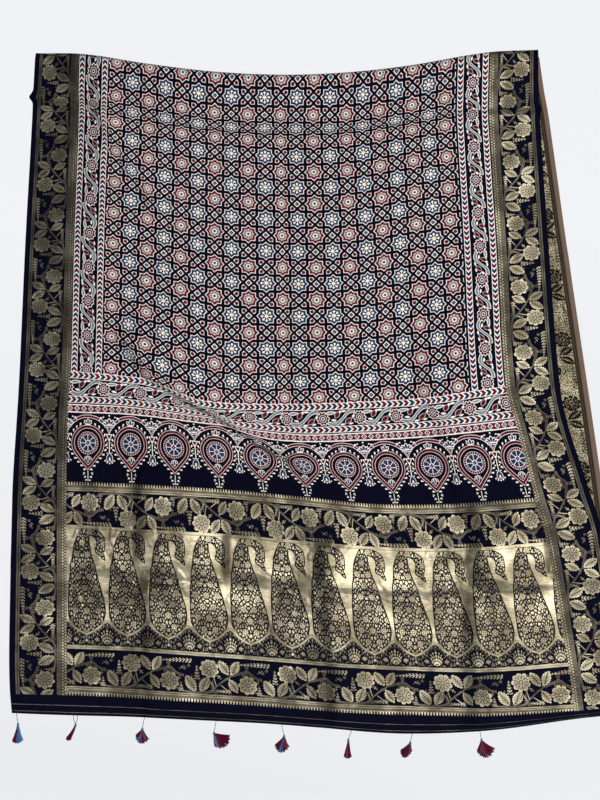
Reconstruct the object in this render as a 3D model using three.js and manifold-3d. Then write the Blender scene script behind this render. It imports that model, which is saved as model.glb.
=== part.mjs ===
// An ajrakh cloth with woven gold borders, hung over a line: millimetres, +Z up, +X to the right, and the face of the
// cloth towards -Y. The origin is the middle of the top fold, where the line holds the cloth.
// The cloth is one sheet. Its front flap carries the gold end panel and eight small tassels on threads at its hem, and
// its back flap hangs behind it, slipped a little to the right, so that its reverse shows past the front selvedge.
import * as THREE from 'three';
import { mergeVertices } from 'three/addons/utils/BufferGeometryUtils.js';
import Module from 'manifold-3d';

const wasm = await Module();
wasm.setup();

// ---- Driving dimensions ----------------------------------------------------------------------------------------------
const CLOTH = { width: 1150, border: 108, thickness: 2, front: 1265, back: 1150 };
const FOLD_RADIUS = 9; // of the middle of the sheet, over the line
const SPREAD = { near: 14, nearReach: 160, far: 12 }; // how far each flap leaves the line's plane
const FOLD_DROP_BLEND = 40; // the reach over which the bend over the line settles into the hang
const CURL = { start: 400, left: 38, right: 12, keptAtHem: 0.25 }; // the selvedges turn back
const SWAY = { depth: 5, wave: 310, backDepth: 7, backWave: 260 }; // soft upright waves low on the flaps
const COLUMNS = 34;

const EDGE = CLOTH.width / 2;
const BORDER_EDGE = EDGE - CLOTH.border;
const FOLD_ARC = (FOLD_RADIUS * Math.PI) / 2;

// Where the front flap hangs. `down` is the length of cloth from the fold to a line across it. `x` is where that line
// meets the left selvedge, the left border's edge, the right border's edge and the right selvedge. `z` is its height at
// the stations in ACROSS, which are places on the flat cloth.
const ACROSS = [-EDGE, -BORDER_EDGE, -322, -161, 0, 150, 288, BORDER_EDGE, EDGE];
const ACROSS_X = [-EDGE, -BORDER_EDGE, BORDER_EDGE, EDGE];
const HANG = [
  { line: 'fold', down: 0, x: [-499, -415, 357, 448], z: [43, 40, 21, 5, -1, 4, 17, 42, 47] },
  { line: 'above shelf crease', down: 76, x: [-503, -417, 355, 448], z: [-32, -36, -54, -77, -82, -80, -64, -34, -28] },
  { line: 'below shelf crease', down: 136, x: [-504, -416, 355, 450], z: [-80, -80, -105, -122, -131, -127, -110, -92, -84] },
  { line: 'middle of field', down: 376, x: [-516, -424, 370, 466], z: [-309, -312, -331, -359, -368, -365, -348, -331, -322] },
  { line: 'end of field', down: 624, x: [-526, -430, 385, 486], z: [-552, -557, -572, -613, -619, -615, -608, -586, -576] },
  { line: 'top of roundels', down: 700, x: [-530, -435, 405, 500], z: [-628, -633, -639, -659, -687, -686, -679, -662, -651] },
  { line: 'top of gold end', down: 830, x: [-538, -437, 439, 542], z: [-761, -764, -769, -778, -792, -806, -806, -794, -782] },
  { line: 'top of paisleys', down: 910, x: [-540, -437, 461, 567], z: [-841, -843, -851, -860, -874, -885, -887, -875, -864] },
  { line: 'foot of paisleys', down: 1138, x: [-544, -436, 501, 600], z: [-1069, -1072, -1078, -1090, -1103, -1112, -1116, -1105, -1096] },
  { line: 'foot of gold end', down: 1217, x: [-543, -436, 512, 611], z: [-1148, -1150, -1157, -1168, -1180, -1187, -1191, -1184, -1176] },
  { line: 'hem', down: 1265, x: [-539, -435, 514, 615], z: [-1197, -1201, -1205, -1213, -1224, -1235, -1231, -1208, -1199] },
];

// How far the back flap's selvedges slip sideways from their places at the fold.
const SLIP = [
  { down: 0, left: 0, right: 0 },
  { down: 76, left: 5, right: 12 },
  { down: 136, left: 3, right: 23 },
  { down: 376, left: -4, right: 57 },
  { down: 624, left: -13, right: 94 },
  { down: 830, left: -21, right: 124 },
  { down: 1150, left: -25, right: 166 },
];

// Folds and creases. `path` runs over the flat cloth as [across, down] points. The cloth rises by `height` towards its
// face over `rise`, and falls away again over `fall` on the high side, which is to the right of a path that runs down
// and above one that runs across. `drawn` is how tightly the cloth is gathered across the fold, and `ends` is the
// length over which the fold dies out.
const FOLDS = [
  { name: 'shelf crease', path: [[-620, 84], [-433, 95], [-273, 105], [0, 100], [260, 105], [620, 116]], height: -9, rise: 20, fall: 20, drawn: 0, ends: 10 },
  { name: 'left wrinkle', path: [[-440, 80], [-397, 163], [-358, 208], [-310, 252], [-285, 310]], height: 7, rise: 26, fall: 34, drawn: 0.2, ends: 50 },
  { name: 'centre crease', path: [[-4, 10], [-4, 720]], height: -6, rise: 28, fall: 28, drawn: 0.1, ends: 80 },
  { name: 'drape', path: [[-380, 530], [-296, 612], [-221, 634], [-158, 666], [-108, 700], [-10, 745], [50, 775]], height: 17, rise: 28, fall: 70, drawn: 0.3, ends: 70 },
  { name: 'right pinch', path: [[282, 540], [297, 610], [318, 680], [322, 840]], height: 8, rise: 26, fall: 60, drawn: 0.15, ends: 60 },
  { name: 'left pleat', path: [[-318, 790], [-322, 988]], height: 10, rise: 28, fall: 80, drawn: 0, ends: 24 },
  { name: 'left lower pleat', path: [[-312, 1000], [-314, 1265]], height: 9, rise: 26, fall: 60, drawn: 0, ends: 24 },
  { name: 'inner left pleat', path: [[-146, 900], [-150, 1003]], height: 8, rise: 34, fall: 80, drawn: 0, ends: 24 },
  { name: 'centre pleat', path: [[27, 900], [30, 1265]], height: 8, rise: 28, fall: 60, drawn: 0, ends: 30 },
  { name: 'right pleat', path: [[359, 820], [324, 990]], height: 11, rise: 38, fall: 80, drawn: 0, ends: 24 },
  { name: 'right lower pleat', path: [[314, 990], [284, 1265]], height: 10, rise: 36, fall: 70, drawn: 0, ends: 24 },
  { name: 'edge pleat', path: [[486, 830], [470, 985]], height: 7, rise: 32, fall: 60, drawn: 0, ends: 24 },
  { name: 'packing crease', path: [[-620, 990], [620, 988]], height: 4, rise: 24, fall: 40, drawn: 0, ends: 10 },
];
const BACK_FOLDS = [
  { name: 'back shelf crease', path: [[-620, -96], [620, -104]], height: -4, rise: 26, fall: 26, drawn: 0, ends: 10 },
  { name: 'back packing crease', path: [[-620, -400], [620, -392]], height: -5, rise: 30, fall: 30, drawn: 0, ends: 10 },
];

// The ears where the shelf crease sticks out of the front selvedges.
const EARS = [
  { side: -1, down: 86, reach: 8, half: 9 },
  { side: 1, down: 117, reach: 4, half: 12 },
];

// Rows of the sheet's mesh, closer together where the cloth bends more.
const FRONT_ROWS = [
  { to: FOLD_ARC, steps: 4 },
  { to: 64, steps: 2 },
  { to: 136, steps: 6 },
  { to: 540, steps: 10 },
  { to: 780, steps: 9 },
  { to: CLOTH.front, steps: 13 },
];
const BACK_ROWS = [
  { to: FOLD_ARC, steps: 4 },
  { to: 70, steps: 2 },
  { to: 130, steps: 3 },
  { to: CLOTH.back, steps: 14 },
];

// Tassels along the hem, left to right. `at` is the place on the flat hem. The head hangs `drop` below the hem and
// `lean` to the right of its thread's top. The skirt fans from `from` to `to` degrees, measured from straight down
// towards the right, and its locks are as long at the left, middle and right of the fan as `lengths` says. A tassel
// with a `loop` hangs from two strands that far apart.
const TASSELS = [
  { name: 'tassel_1', at: -566, drop: 18, lean: 3, from: -17, to: 14, lengths: [35, 36, 32], loop: 0 },
  { name: 'tassel_2', at: -452, drop: 15, lean: 0, from: -33, to: -23, lengths: [31, 33, 31], loop: 7 },
  { name: 'tassel_3', at: -325, drop: 19, lean: -4, from: -47, to: 30, lengths: [16, 28, 23], loop: 0 },
  { name: 'tassel_4', at: -193, drop: 20, lean: -4, from: 4, to: 80, lengths: [26, 34, 30], loop: 0 },
  { name: 'tassel_5', at: -73, drop: 19, lean: 5, from: -46, to: 22, lengths: [24, 32, 22], loop: 0 },
  { name: 'tassel_6', at: 56, drop: 15, lean: -6, from: -13, to: 7, lengths: [33, 35, 33], loop: 0 },
  { name: 'tassel_7', at: 168, drop: 14, lean: -4, from: -52, to: 7, lengths: [23, 31, 16], loop: 0 },
  { name: 'tassel_8', at: 292, drop: 14, lean: 3, from: -21, to: 56, lengths: [23, 35, 30], loop: 0 },
];
const THREAD_RADIUS = 0.6;
const HEAD = { radius: 1.9, length: 5.5, sides: 8 };
const LOCK = { count: 14, layers: 3, layerTilt: 9, root: 0.7, tip: 1, sides: 3 };
const GAP = 0.35; // between a thread's end and the hem

const MATERIALS = {
  cloth: new THREE.MeshStandardMaterial({ color: 0x2a2230, roughness: 0.85, metalness: 0 }),
  tassel: new THREE.MeshStandardMaterial({ color: 0x55112c, roughness: 0.7, metalness: 0 }),
};

// ---- Curves ----------------------------------------------------------------------------------------------------------
const clamp01 = (t) => Math.min(Math.max(t, 0), 1);
const smooth = (t) => clamp01(t) ** 2 * (3 - 2 * clamp01(t));
const mix = (a, b, t) => a + (b - a) * t;

function slopeAt(xs, ys, k) {
  const low = Math.max(k - 1, 0);
  const high = Math.min(k + 1, xs.length - 1);
  return (ys[high] - ys[low]) / (xs[high] - xs[low]);
}

// A smooth curve through the points (xs, ys), read at x.
function through(xs, ys, x) {
  let i = 0;
  while (i < xs.length - 2 && x > xs[i + 1]) i += 1;
  const width = xs[i + 1] - xs[i];
  const t = (x - xs[i]) / width;
  const start = slopeAt(xs, ys, i) * width;
  const end = slopeAt(xs, ys, i + 1) * width;
  const t2 = t * t;
  const t3 = t2 * t;
  return (2 * t3 - 3 * t2 + 1) * ys[i] + (t3 - 2 * t2 + t) * start + (3 * t2 - 2 * t3) * ys[i + 1] + (t3 - t2) * end;
}

function straight(xs, ys, x) {
  let i = 0;
  while (i < xs.length - 2 && x > xs[i + 1]) i += 1;
  return mix(ys[i], ys[i + 1], (x - xs[i]) / (xs[i + 1] - xs[i]));
}

// ---- The hang of the cloth ---------------------------------------------------------------------------------------------
const DOWNS = HANG.map((row) => row.down);

function frontX(across, down) {
  const columns = ACROSS_X.map((_, k) => through(DOWNS, HANG.map((row) => row.x[k]), down));
  const ear = EARS.reduce((sum, { side, down: at, reach, half }) => {
    const near = smooth((side * across - (EDGE - 24)) / 24);
    return sum + side * reach * near * Math.exp(-(((down - at) / half) ** 2));
  }, 0);
  return straight(ACROSS_X, columns, across) + ear;
}

function frontZ(across, down) {
  const stations = ACROSS.map((_, k) => through(DOWNS, HANG.map((row) => row.z[k]), down));
  return through(ACROSS, stations, across);
}

const FOLD_LINE = (across) => frontZ(across, 0);

// Which way a fold carries a point of the flat cloth: { lift, across, down }.
function foldAt({ path, height, rise, fall, drawn, ends }, across, down) {
  let total = 0;
  let nearest = { gap: Infinity };
  path.slice(1).forEach(([endAcross, endDown], i) => {
    const [fromAcross, fromDown] = path[i];
    const length = Math.hypot(endAcross - fromAcross, endDown - fromDown);
    const along = [(endAcross - fromAcross) / length, (endDown - fromDown) / length];
    const offset = [across - fromAcross, down - fromDown];
    const run = offset[0] * along[0] + offset[1] * along[1];
    const side = offset[0] * along[1] - offset[1] * along[0];
    const past = Math.max(-run, run - length, 0);
    const gap = Math.hypot(side, past);
    if (gap < nearest.gap) nearest = { gap, side, along, at: total + run };
    total += length;
  });
  const { side, along, at } = nearest;
  const kept = smooth(at / ends) * smooth((total - at) / ends);
  const shape = smooth((side + rise) / rise) / (1 + (Math.max(side, 0) / fall) ** 2);
  const pull = -drawn * side * Math.exp(-((side / rise) ** 2) / 2) * kept;
  return { lift: height * shape * kept, across: pull * along[1], down: -pull * along[0] };
}

function foldsAt(folds, across, down) {
  return folds.map((fold) => foldAt(fold, across, down)).reduce(
    (sum, one) => ({ lift: sum.lift + one.lift, across: sum.across + one.across, down: sum.down + one.down }),
    { lift: 0, across: 0, down: 0 },
  );
}

// How far the selvedges turn back, most at the line and least at the hem.
function curl(across, down) {
  const kept = mix(1, CURL.keptAtHem, smooth(down / CLOTH.front));
  const turned = smooth((Math.abs(across) - CURL.start) / (EDGE - CURL.start)) ** 0.7;
  return (across < 0 ? CURL.left : CURL.right) * turned * kept;
}

function clearance(down) {
  return FOLD_RADIUS + SPREAD.near * smooth((down - FOLD_ARC) / SPREAD.nearReach) + SPREAD.far * smooth(down / CLOTH.front);
}

// A point on the middle of the sheet. `along` runs from 0 at the fold to the hem, and below 0 down the back flap.
function sheetPoint(across, along) {
  const down = Math.abs(along);
  const facing = along < 0 ? 1 : -1;
  const turned = curl(across, down);
  if (down < FOLD_ARC) {
    const angle = down / FOLD_RADIUS;
    const z = FOLD_LINE(across) - FOLD_RADIUS * (1 - Math.cos(angle));
    return new THREE.Vector3(frontX(across, 0), turned + facing * FOLD_RADIUS * Math.sin(angle), z);
  }
  const settle = (FOLD_ARC - FOLD_RADIUS) * Math.exp((FOLD_ARC - down) / FOLD_DROP_BLEND);
  if (along < 0) {
    const { lift } = foldsAt(BACK_FOLDS, across, along);
    const side = (across + EDGE) / CLOTH.width;
    const slip = (key) => through(SLIP.map((row) => row.down), SLIP.map((row) => row[key]), down);
    const sway = SWAY.backDepth * smooth(down / CLOTH.back) * Math.sin((2 * Math.PI * across) / SWAY.backWave);
    const x = frontX(across, 0) + mix(slip('left'), slip('right'), side);
    return new THREE.Vector3(x, turned + clearance(down) + sway + lift, FOLD_LINE(across) - down + settle);
  }
  const move = foldsAt(FOLDS, across, along);
  const sway = SWAY.depth * smooth(down / CLOTH.front) * Math.sin((2 * Math.PI * across) / SWAY.wave);
  const x = frontX(across, down) + move.across;
  return new THREE.Vector3(x, turned - clearance(down) - sway - move.lift, frontZ(across, down) + settle - move.down);
}

// ---- The sheet -----------------------------------------------------------------------------------------------------------
function rowsOf(bands) {
  const rows = [];
  let from = 0;
  bands.forEach(({ to, steps }) => {
    for (let i = 1; i <= steps; i += 1) rows.push(mix(from, to, i / steps));
    from = to;
  });
  return rows;
}

function columnAt(index) {
  return mix(-EDGE, EDGE, index / COLUMNS);
}

function sheetNormal(across, along) {
  const step = 0.5;
  const right = sheetPoint(Math.min(across + step, EDGE), along).sub(sheetPoint(Math.max(across - step, -EDGE), along));
  const low = Math.min(along + step, CLOTH.front);
  const high = Math.max(along - step, -CLOTH.back);
  const below = sheetPoint(across, low).sub(sheetPoint(across, high));
  return below.cross(right).normalize();
}

// A closed sheet: the face, the reverse and the rim between them.
function clothGeometry() {
  const rows = [...rowsOf(BACK_ROWS).reverse().map((down) => -down), 0, ...rowsOf(FRONT_ROWS)];
  const wide = COLUMNS + 1;
  const face = [];
  const reverse = [];
  rows.forEach((along) => {
    for (let i = 0; i < wide; i += 1) {
      const across = columnAt(i);
      const middle = sheetPoint(across, along);
      const out = sheetNormal(across, along).multiplyScalar(CLOTH.thickness / 2);
      face.push(middle.clone().add(out));
      reverse.push(middle.clone().sub(out));
    }
  });
  const index = [];
  const quad = (a, b, c, d) => index.push(a, b, c, a, c, d);
  const under = face.length;
  for (let r = 0; r < rows.length - 1; r += 1) {
    for (let i = 0; i < COLUMNS; i += 1) {
      const a = r * wide + i;
      quad(a, a + wide, a + wide + 1, a + 1);
      quad(under + a, under + a + 1, under + a + wide + 1, under + a + wide);
    }
  }
  const rim = [];
  for (let i = 0; i < COLUMNS; i += 1) rim.push([i, i + 1]);
  for (let r = 0; r < rows.length - 1; r += 1) rim.push([r * wide + COLUMNS, (r + 1) * wide + COLUMNS]);
  for (let i = COLUMNS; i > 0; i -= 1) rim.push([(rows.length - 1) * wide + i, (rows.length - 1) * wide + i - 1]);
  for (let r = rows.length - 1; r > 0; r -= 1) rim.push([r * wide, (r - 1) * wide]);
  rim.forEach(([a, b]) => quad(a, b, under + b, under + a));
  const geometry = new THREE.BufferGeometry();
  geometry.setAttribute('position', new THREE.Float32BufferAttribute([...face, ...reverse].flatMap((p) => p.toArray()), 3));
  geometry.setIndex(index);
  geometry.computeVertexNormals();
  return geometry;
}

// ---- Tassels --------------------------------------------------------------------------------------------------------------
function solidOf(geometry) {
  geometry.deleteAttribute('normal');
  geometry.deleteAttribute('uv');
  const merged = mergeVertices(geometry, 1e-4);
  return new wasm.Manifold(new wasm.Mesh({
    numProp: 3,
    vertProperties: new Float32Array(merged.attributes.position.array),
    triVerts: new Uint32Array(merged.index.array),
  }));
}

// A round or many-sided bar from one point to another.
function bar(from, to, startRadius, endRadius, sides) {
  const run = new THREE.Vector3().subVectors(to, from);
  const geometry = new THREE.CylinderGeometry(endRadius, startRadius, run.length(), sides, 1);
  geometry.translate(0, run.length() / 2, 0);
  geometry.applyQuaternion(new THREE.Quaternion().setFromUnitVectors(new THREE.Vector3(0, 1, 0), run.clone().normalize()));
  geometry.translate(from.x, from.y, from.z);
  return solidOf(geometry);
}

// The wound head of a tassel: narrow where the thread enters, round below.
function headSolid(top) {
  const { radius, length, sides } = HEAD;
  const profile = [[0, -length], [0.75, -length], [1, -0.62 * length], [0.8, -0.25 * length], [0.45, 0], [0, 0]];
  const geometry = new THREE.LatheGeometry(profile.map(([r, h]) => new THREE.Vector2(r * radius, h)), sides);
  geometry.rotateX(Math.PI / 2);
  geometry.translate(top.x, top.y, top.z);
  return solidOf(geometry);
}

// The middle of the hem's lower edge, between the mesh's own columns.
function hemPoint(across) {
  const place = ((across + EDGE) / CLOTH.width) * COLUMNS;
  const i = Math.min(Math.floor(place), COLUMNS - 1);
  const left = sheetPoint(columnAt(i), CLOTH.front);
  return left.lerp(sheetPoint(columnAt(i + 1), CLOTH.front), place - i);
}

function lockTip(root, { from, to, lengths }, index) {
  const share = (index + 0.5) / LOCK.count;
  const angle = THREE.MathUtils.degToRad(mix(from, to, share));
  const tilt = THREE.MathUtils.degToRad(((index % LOCK.layers) - 1) * LOCK.layerTilt);
  const length = through([0, 0.5, 1], lengths, share);
  const way = new THREE.Vector3(Math.sin(angle), Math.sin(tilt), -Math.cos(angle)).normalize();
  return root.clone().addScaledVector(way, length);
}

function tasselGeometry(tassel) {
  const hem = hemPoint(tassel.at);
  const head = hem.clone().add(new THREE.Vector3(tassel.lean, 0, -tassel.drop));
  const strands = tassel.loop ? [-tassel.loop / 2, tassel.loop / 2] : [0];
  const sunk = new THREE.Vector3(0, 0, -HEAD.length / 2);
  let solid = headSolid(head);
  strands.forEach((offset) => {
    const top = hemPoint(tassel.at + offset);
    top.z -= GAP + THREAD_RADIUS / 2;
    solid = solid.add(bar(head.clone().add(sunk), top, THREAD_RADIUS, THREAD_RADIUS, 4));
  });
  const root = head.clone().add(sunk);
  for (let i = 0; i < LOCK.count; i += 1) {
    solid = solid.add(bar(root, lockTip(root, tassel, i), LOCK.root, LOCK.tip, LOCK.sides));
  }
  const { vertProperties, triVerts } = solid.getMesh();
  const geometry = new THREE.BufferGeometry();
  geometry.setAttribute('position', new THREE.BufferAttribute(vertProperties, 3));
  geometry.setIndex(new THREE.BufferAttribute(triVerts, 1));
  return geometry;
}

// ---- The object ------------------------------------------------------------------------------------------------------------
function named(name, geometry, material) {
  const mesh = new THREE.Mesh(geometry, material);
  mesh.name = name;
  return mesh;
}

const group = new THREE.Group();
group.add(named('cloth', clothGeometry(), MATERIALS.cloth));
TASSELS.forEach((tassel) => group.add(named(tassel.name, tasselGeometry(tassel), MATERIALS.tassel)));

export default group;
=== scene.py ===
"""An ajrakh cloth hung over a line: a block-printed field, woven gold side borders, a gold end panel with
paisleys, and eight small tassels on threads at the front hem.

The tables about the cloth are in millimetres of flat cloth: across from its middle, and down from the fold
over the line, where the back flap counts as less than 0. Blender's own lengths are in metres.
"""

import math

import bpy
import numpy as np
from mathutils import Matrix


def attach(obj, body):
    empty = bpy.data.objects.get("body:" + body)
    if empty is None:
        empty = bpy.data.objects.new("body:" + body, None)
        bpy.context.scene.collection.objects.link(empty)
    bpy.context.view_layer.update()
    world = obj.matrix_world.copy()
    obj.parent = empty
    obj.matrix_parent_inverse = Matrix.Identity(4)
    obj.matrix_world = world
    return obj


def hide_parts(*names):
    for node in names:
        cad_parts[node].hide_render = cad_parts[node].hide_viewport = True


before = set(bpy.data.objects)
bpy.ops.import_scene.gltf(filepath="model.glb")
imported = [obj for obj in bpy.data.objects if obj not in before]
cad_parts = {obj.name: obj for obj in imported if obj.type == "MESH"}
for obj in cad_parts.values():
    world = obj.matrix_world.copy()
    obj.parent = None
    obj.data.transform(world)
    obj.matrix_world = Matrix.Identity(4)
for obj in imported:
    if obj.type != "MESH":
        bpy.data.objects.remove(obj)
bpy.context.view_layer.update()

MM = 0.001

# ---- Camera ----
# Level with the middle of the cloth and looking straight at it from far off, so that the frame is 1.5 m tall
# where the cloth hangs.
CAMERA_AWAY = 7
CAMERA_HEIGHT = -0.6115
bpy.ops.object.camera_add(location=(0, -CAMERA_AWAY, CAMERA_HEIGHT), rotation=(math.pi / 2, 0, 0))
camera = bpy.context.object
camera.name = "camera"
camera.data.lens = 167.7
camera.data.sensor_width = 36
bpy.context.scene.camera = camera
bpy.context.scene.view_settings.view_transform = "Standard"

# ---- The cloth's sizes, as in the solids ----
CLOTH = {"width": 1150, "border": 108, "front": 1265, "back": 1150}
THICKNESS = 1.2  # thinner than the solid, so that the hem looks like cloth
FOLD_RADIUS = 9
SPREAD = {"near": 14, "near_reach": 160, "far": 12}
FOLD_DROP_BLEND = 40
CURL = {"start": 400, "left": 38, "right": 12, "kept_at_hem": 0.25}
SWAY = {"depth": 5, "wave": 310, "back_depth": 7, "back_wave": 260}
EDGE = CLOTH["width"] / 2
BORDER_EDGE = EDGE - CLOTH["border"]
FOLD_ARC = FOLD_RADIUS * math.pi / 2

# Where the front flap hangs. For each line across the cloth, x is where it meets the left selvedge, the left
# border's edge, the right border's edge and the right selvedge, and z is its height at the places in ACROSS.
ACROSS = [-EDGE, -BORDER_EDGE, -322, -161, 0, 150, 288, BORDER_EDGE, EDGE]
ACROSS_X = [-EDGE, -BORDER_EDGE, BORDER_EDGE, EDGE]
HANG = [  # (the line, down, x, z)
    ("fold", 0, [-499, -415, 357, 448], [43, 40, 21, 5, -1, 4, 17, 42, 47]),
    ("above shelf crease", 76, [-503, -417, 355, 448], [-32, -36, -54, -77, -82, -80, -64, -34, -28]),
    ("below shelf crease", 136, [-504, -416, 355, 450], [-80, -80, -105, -122, -131, -127, -110, -92, -84]),
    ("middle of field", 376, [-516, -424, 370, 466], [-309, -312, -331, -359, -368, -365, -348, -331, -322]),
    ("end of field", 624, [-526, -430, 385, 486], [-552, -557, -572, -613, -619, -615, -608, -586, -576]),
    ("top of roundels", 700, [-530, -435, 405, 500], [-628, -633, -639, -659, -687, -686, -679, -662, -651]),
    ("top of gold end", 830, [-538, -437, 439, 542], [-761, -764, -769, -778, -792, -806, -806, -794, -782]),
    ("top of paisleys", 910, [-540, -437, 461, 567], [-841, -843, -851, -860, -874, -885, -887, -875, -864]),
    ("foot of paisleys", 1138, [-544, -436, 501, 600],
     [-1069, -1072, -1078, -1090, -1103, -1112, -1116, -1105, -1096]),
    ("foot of gold end", 1217, [-543, -436, 512, 611],
     [-1148, -1150, -1157, -1168, -1180, -1187, -1191, -1184, -1176]),
    ("hem", 1265, [-539, -435, 514, 615], [-1197, -1201, -1205, -1213, -1224, -1235, -1231, -1208, -1199]),
]
DOWNS = [row[1] for row in HANG]

# How far the back flap's selvedges slip sideways from their places at the fold: (down, left, right).
SLIP = [
    (0, 0, 0), (76, 5, 12), (136, 3, 23), (376, -4, 57), (624, -13, 94), (830, -21, 124), (1150, -25, 166),
]

# Folds and creases: a path over the flat cloth, how far the cloth rises towards its face and over what width,
# the width over which it falls away on the high side, which is right of a path that runs down and above one
# that runs across, how tightly it is gathered, and the length over which it dies out at its ends.
FRONT_FOLDS = [  # (name, path, height, rise, fall, drawn, ends)
    ("shelf crease", [(-620, 84), (-433, 95), (-343, 97), (-273, 106), (-196, 110), (-42, 102), (105, 99),
                      (260, 105), (377, 102), (620, 116)], -9, 14, 16, 0, 10),
    ("left wrinkle", [(-440, 80), (-397, 163), (-358, 208), (-310, 252), (-285, 310)], 7, 16, 34, 0.2, 50),
    ("centre crease", [(-4, 10), (-4, 720)], -6, 28, 28, 0.1, 80),
    ("drape", [(-380, 530), (-296, 612), (-221, 634), (-158, 666), (-108, 700), (-10, 745), (50, 775)],
     17, 20, 70, 0.3, 70),
    ("right pinch", [(282, 540), (297, 610), (318, 680), (322, 840)], 8, 18, 60, 0.15, 60),
    ("left pleat", [(-318, 790), (-322, 988)], 10, 14, 80, 0, 24),
    ("left lower pleat", [(-312, 1000), (-314, 1265)], 9, 13, 60, 0, 24),
    ("inner left pleat", [(-146, 900), (-150, 1003)], 8, 20, 80, 0, 24),
    ("centre pleat", [(27, 900), (30, 1265)], 8, 15, 60, 0, 30),
    ("right pleat", [(359, 820), (324, 990)], 11, 30, 80, 0, 24),
    ("right lower pleat", [(314, 990), (284, 1265)], 10, 24, 70, 0, 24),
    ("edge pleat", [(486, 830), (470, 985)], 7, 24, 60, 0, 24),
    ("packing crease", [(-620, 990), (-148, 996), (620, 988)], 4, 10, 40, 0, 10),
]
BACK_FOLDS = [
    ("back shelf crease", [(-620, -96), (620, -104)], -4, 26, 26, 0, 10),
    ("back packing crease", [(-620, -400), (620, -392)], -5, 30, 30, 0, 10),
]

# The ears where the shelf crease sticks out of the front selvedges: (side, down, reach, half its height).
EARS = [(-1, 86, 8, 9), (1, 117, 4, 12)]

# The cloth's bands: where one finish ends and the next begins.
STRIP_LEFT = -398
STRIP_RIGHT = 390
VINE_LEFT = (-450, -415)
VINE_RIGHT = (411, 447)
FIELD_END = 624
VINE_CROSS = (638, 669)
STRIP_END = 683
ROUNDELS_END = 830
GOLD_END = 1230
BACK_FIELD_END = -1043
VINE_BACK = (-1088, -1057)
BACK_STRIP_END = -1102

GRID_STEP = 5.2  # between two grid lines of the sheet, at most
HEM_ANGLE = 50  # degrees past which an edge stays sharp: the hem's edge does, and the folds don't

# The sheet is made in four lengths, so that each has a whole map of its own when the model is exported.
LENGTHS = [  # (name, from, to)
    ("printed_field", -14, 700),
    ("gold_end", 700, CLOTH["front"]),
    ("back_field", -582, -14),
    ("back_end", -CLOTH["back"], -582),
]


# ---- Curves ----
def smooth(t):
    """A smooth step, from 0 at 0 to 1 at 1."""
    t = np.clip(t, 0, 1)
    return t * t * (3 - 2 * t)


def mix(a, b, t):
    """A value on the way from a to b, which is a at 0 and b at 1."""
    return a + (b - a) * t


def through(xs, ys, x):
    """A smooth curve through the points (xs, ys), read at x."""
    xs = np.asarray(xs, float)
    ys = np.asarray(ys, float)
    slopes = (np.append(ys[1:], ys[-1:]) - np.append(ys[:1], ys[:-1])) / (
        np.append(xs[1:], xs[-1:]) - np.append(xs[:1], xs[:-1])
    )
    i = np.clip(np.searchsorted(xs, x) - 1, 0, len(xs) - 2)
    width = xs[i + 1] - xs[i]
    t = (x - xs[i]) / width
    start = slopes[i] * width
    end = slopes[i + 1] * width
    return (
        (2 * t**3 - 3 * t**2 + 1) * ys[i]
        + (t**3 - 2 * t**2 + t) * start
        + (3 * t**2 - 2 * t**3) * ys[i + 1]
        + (t**3 - t**2) * end
    )


# ---- The hang of the cloth ----
def front_x(across, down):
    """How far to the right a place on the front flap hangs."""
    columns = [through(DOWNS, [row[2][k] for row in HANG], down) for k in range(len(ACROSS_X))]
    ears = 0
    for side, at, reach, half in EARS:
        near = smooth((side * across - (EDGE - 24)) / 24)
        ears = ears + side * reach * near * math.exp(-(((down - at) / half) ** 2))
    return np.interp(across, ACROSS_X, columns) + ears


def front_z(across, down):
    """How high a place on the front flap hangs."""
    stations = [through(DOWNS, [row[3][k] for row in HANG], down) for k in range(len(ACROSS))]
    return through(ACROSS, stations, across)


def fold_at(fold, across, down):
    """How a fold carries a row of the flat cloth: (lift, across, down)."""
    _, path, height, rise, fall, drawn, ends = fold
    nearest = np.full(across.shape, np.inf)
    side = np.zeros(across.shape)
    at = np.zeros(across.shape)
    along = np.zeros((2, *across.shape))
    total = 0
    for (from_across, from_down), (to_across, to_down) in zip(path, path[1:]):
        length = math.hypot(to_across - from_across, to_down - from_down)
        way = ((to_across - from_across) / length, (to_down - from_down) / length)
        offset = (across - from_across, down - from_down)
        run = offset[0] * way[0] + offset[1] * way[1]
        beside = offset[0] * way[1] - offset[1] * way[0]
        gap = np.hypot(beside, np.maximum(np.maximum(-run, run - length), 0))
        closer = gap < nearest
        nearest = np.where(closer, gap, nearest)
        side = np.where(closer, beside, side)
        at = np.where(closer, total + run, at)
        along = np.where(closer, np.reshape(way, (2, 1)), along)
        total += length
    kept = smooth(at / ends) * smooth((total - at) / ends)
    shape = smooth((side + rise) / rise) / (1 + (np.maximum(side, 0) / fall) ** 2)
    pull = -drawn * side * np.exp(-((side / rise) ** 2) / 2) * kept
    return np.array([height * shape * kept, pull * along[1], -pull * along[0]])


def curl(across, down):
    """How far the selvedges turn back, most at the line and least at the hem."""
    kept = mix(1, CURL["kept_at_hem"], smooth(down / CLOTH["front"]))
    turned = smooth((np.abs(across) - CURL["start"]) / (EDGE - CURL["start"])) ** 0.7
    return np.where(across < 0, CURL["left"], CURL["right"]) * turned * kept


def clearance(down):
    """How far a flap stands off from the middle between the two flaps."""
    near = SPREAD["near"] * smooth((down - FOLD_ARC) / SPREAD["near_reach"])
    return FOLD_RADIUS + near + SPREAD["far"] * smooth(down / CLOTH["front"])


def ripples(across, down):
    """The small unevenness of thin cloth, on top of its folds."""
    slow = np.sin(across / 47 + 1.3 * np.sin(down / 83)) * np.sin(down / 61 + 0.8 * np.sin(across / 90))
    quick = np.sin(across / 19 + 2.1 * np.sin(down / 37)) * np.sin(down / 23 + 1.7 * np.sin(across / 31))
    return 0.8 * slow + 0.35 * quick


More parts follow.
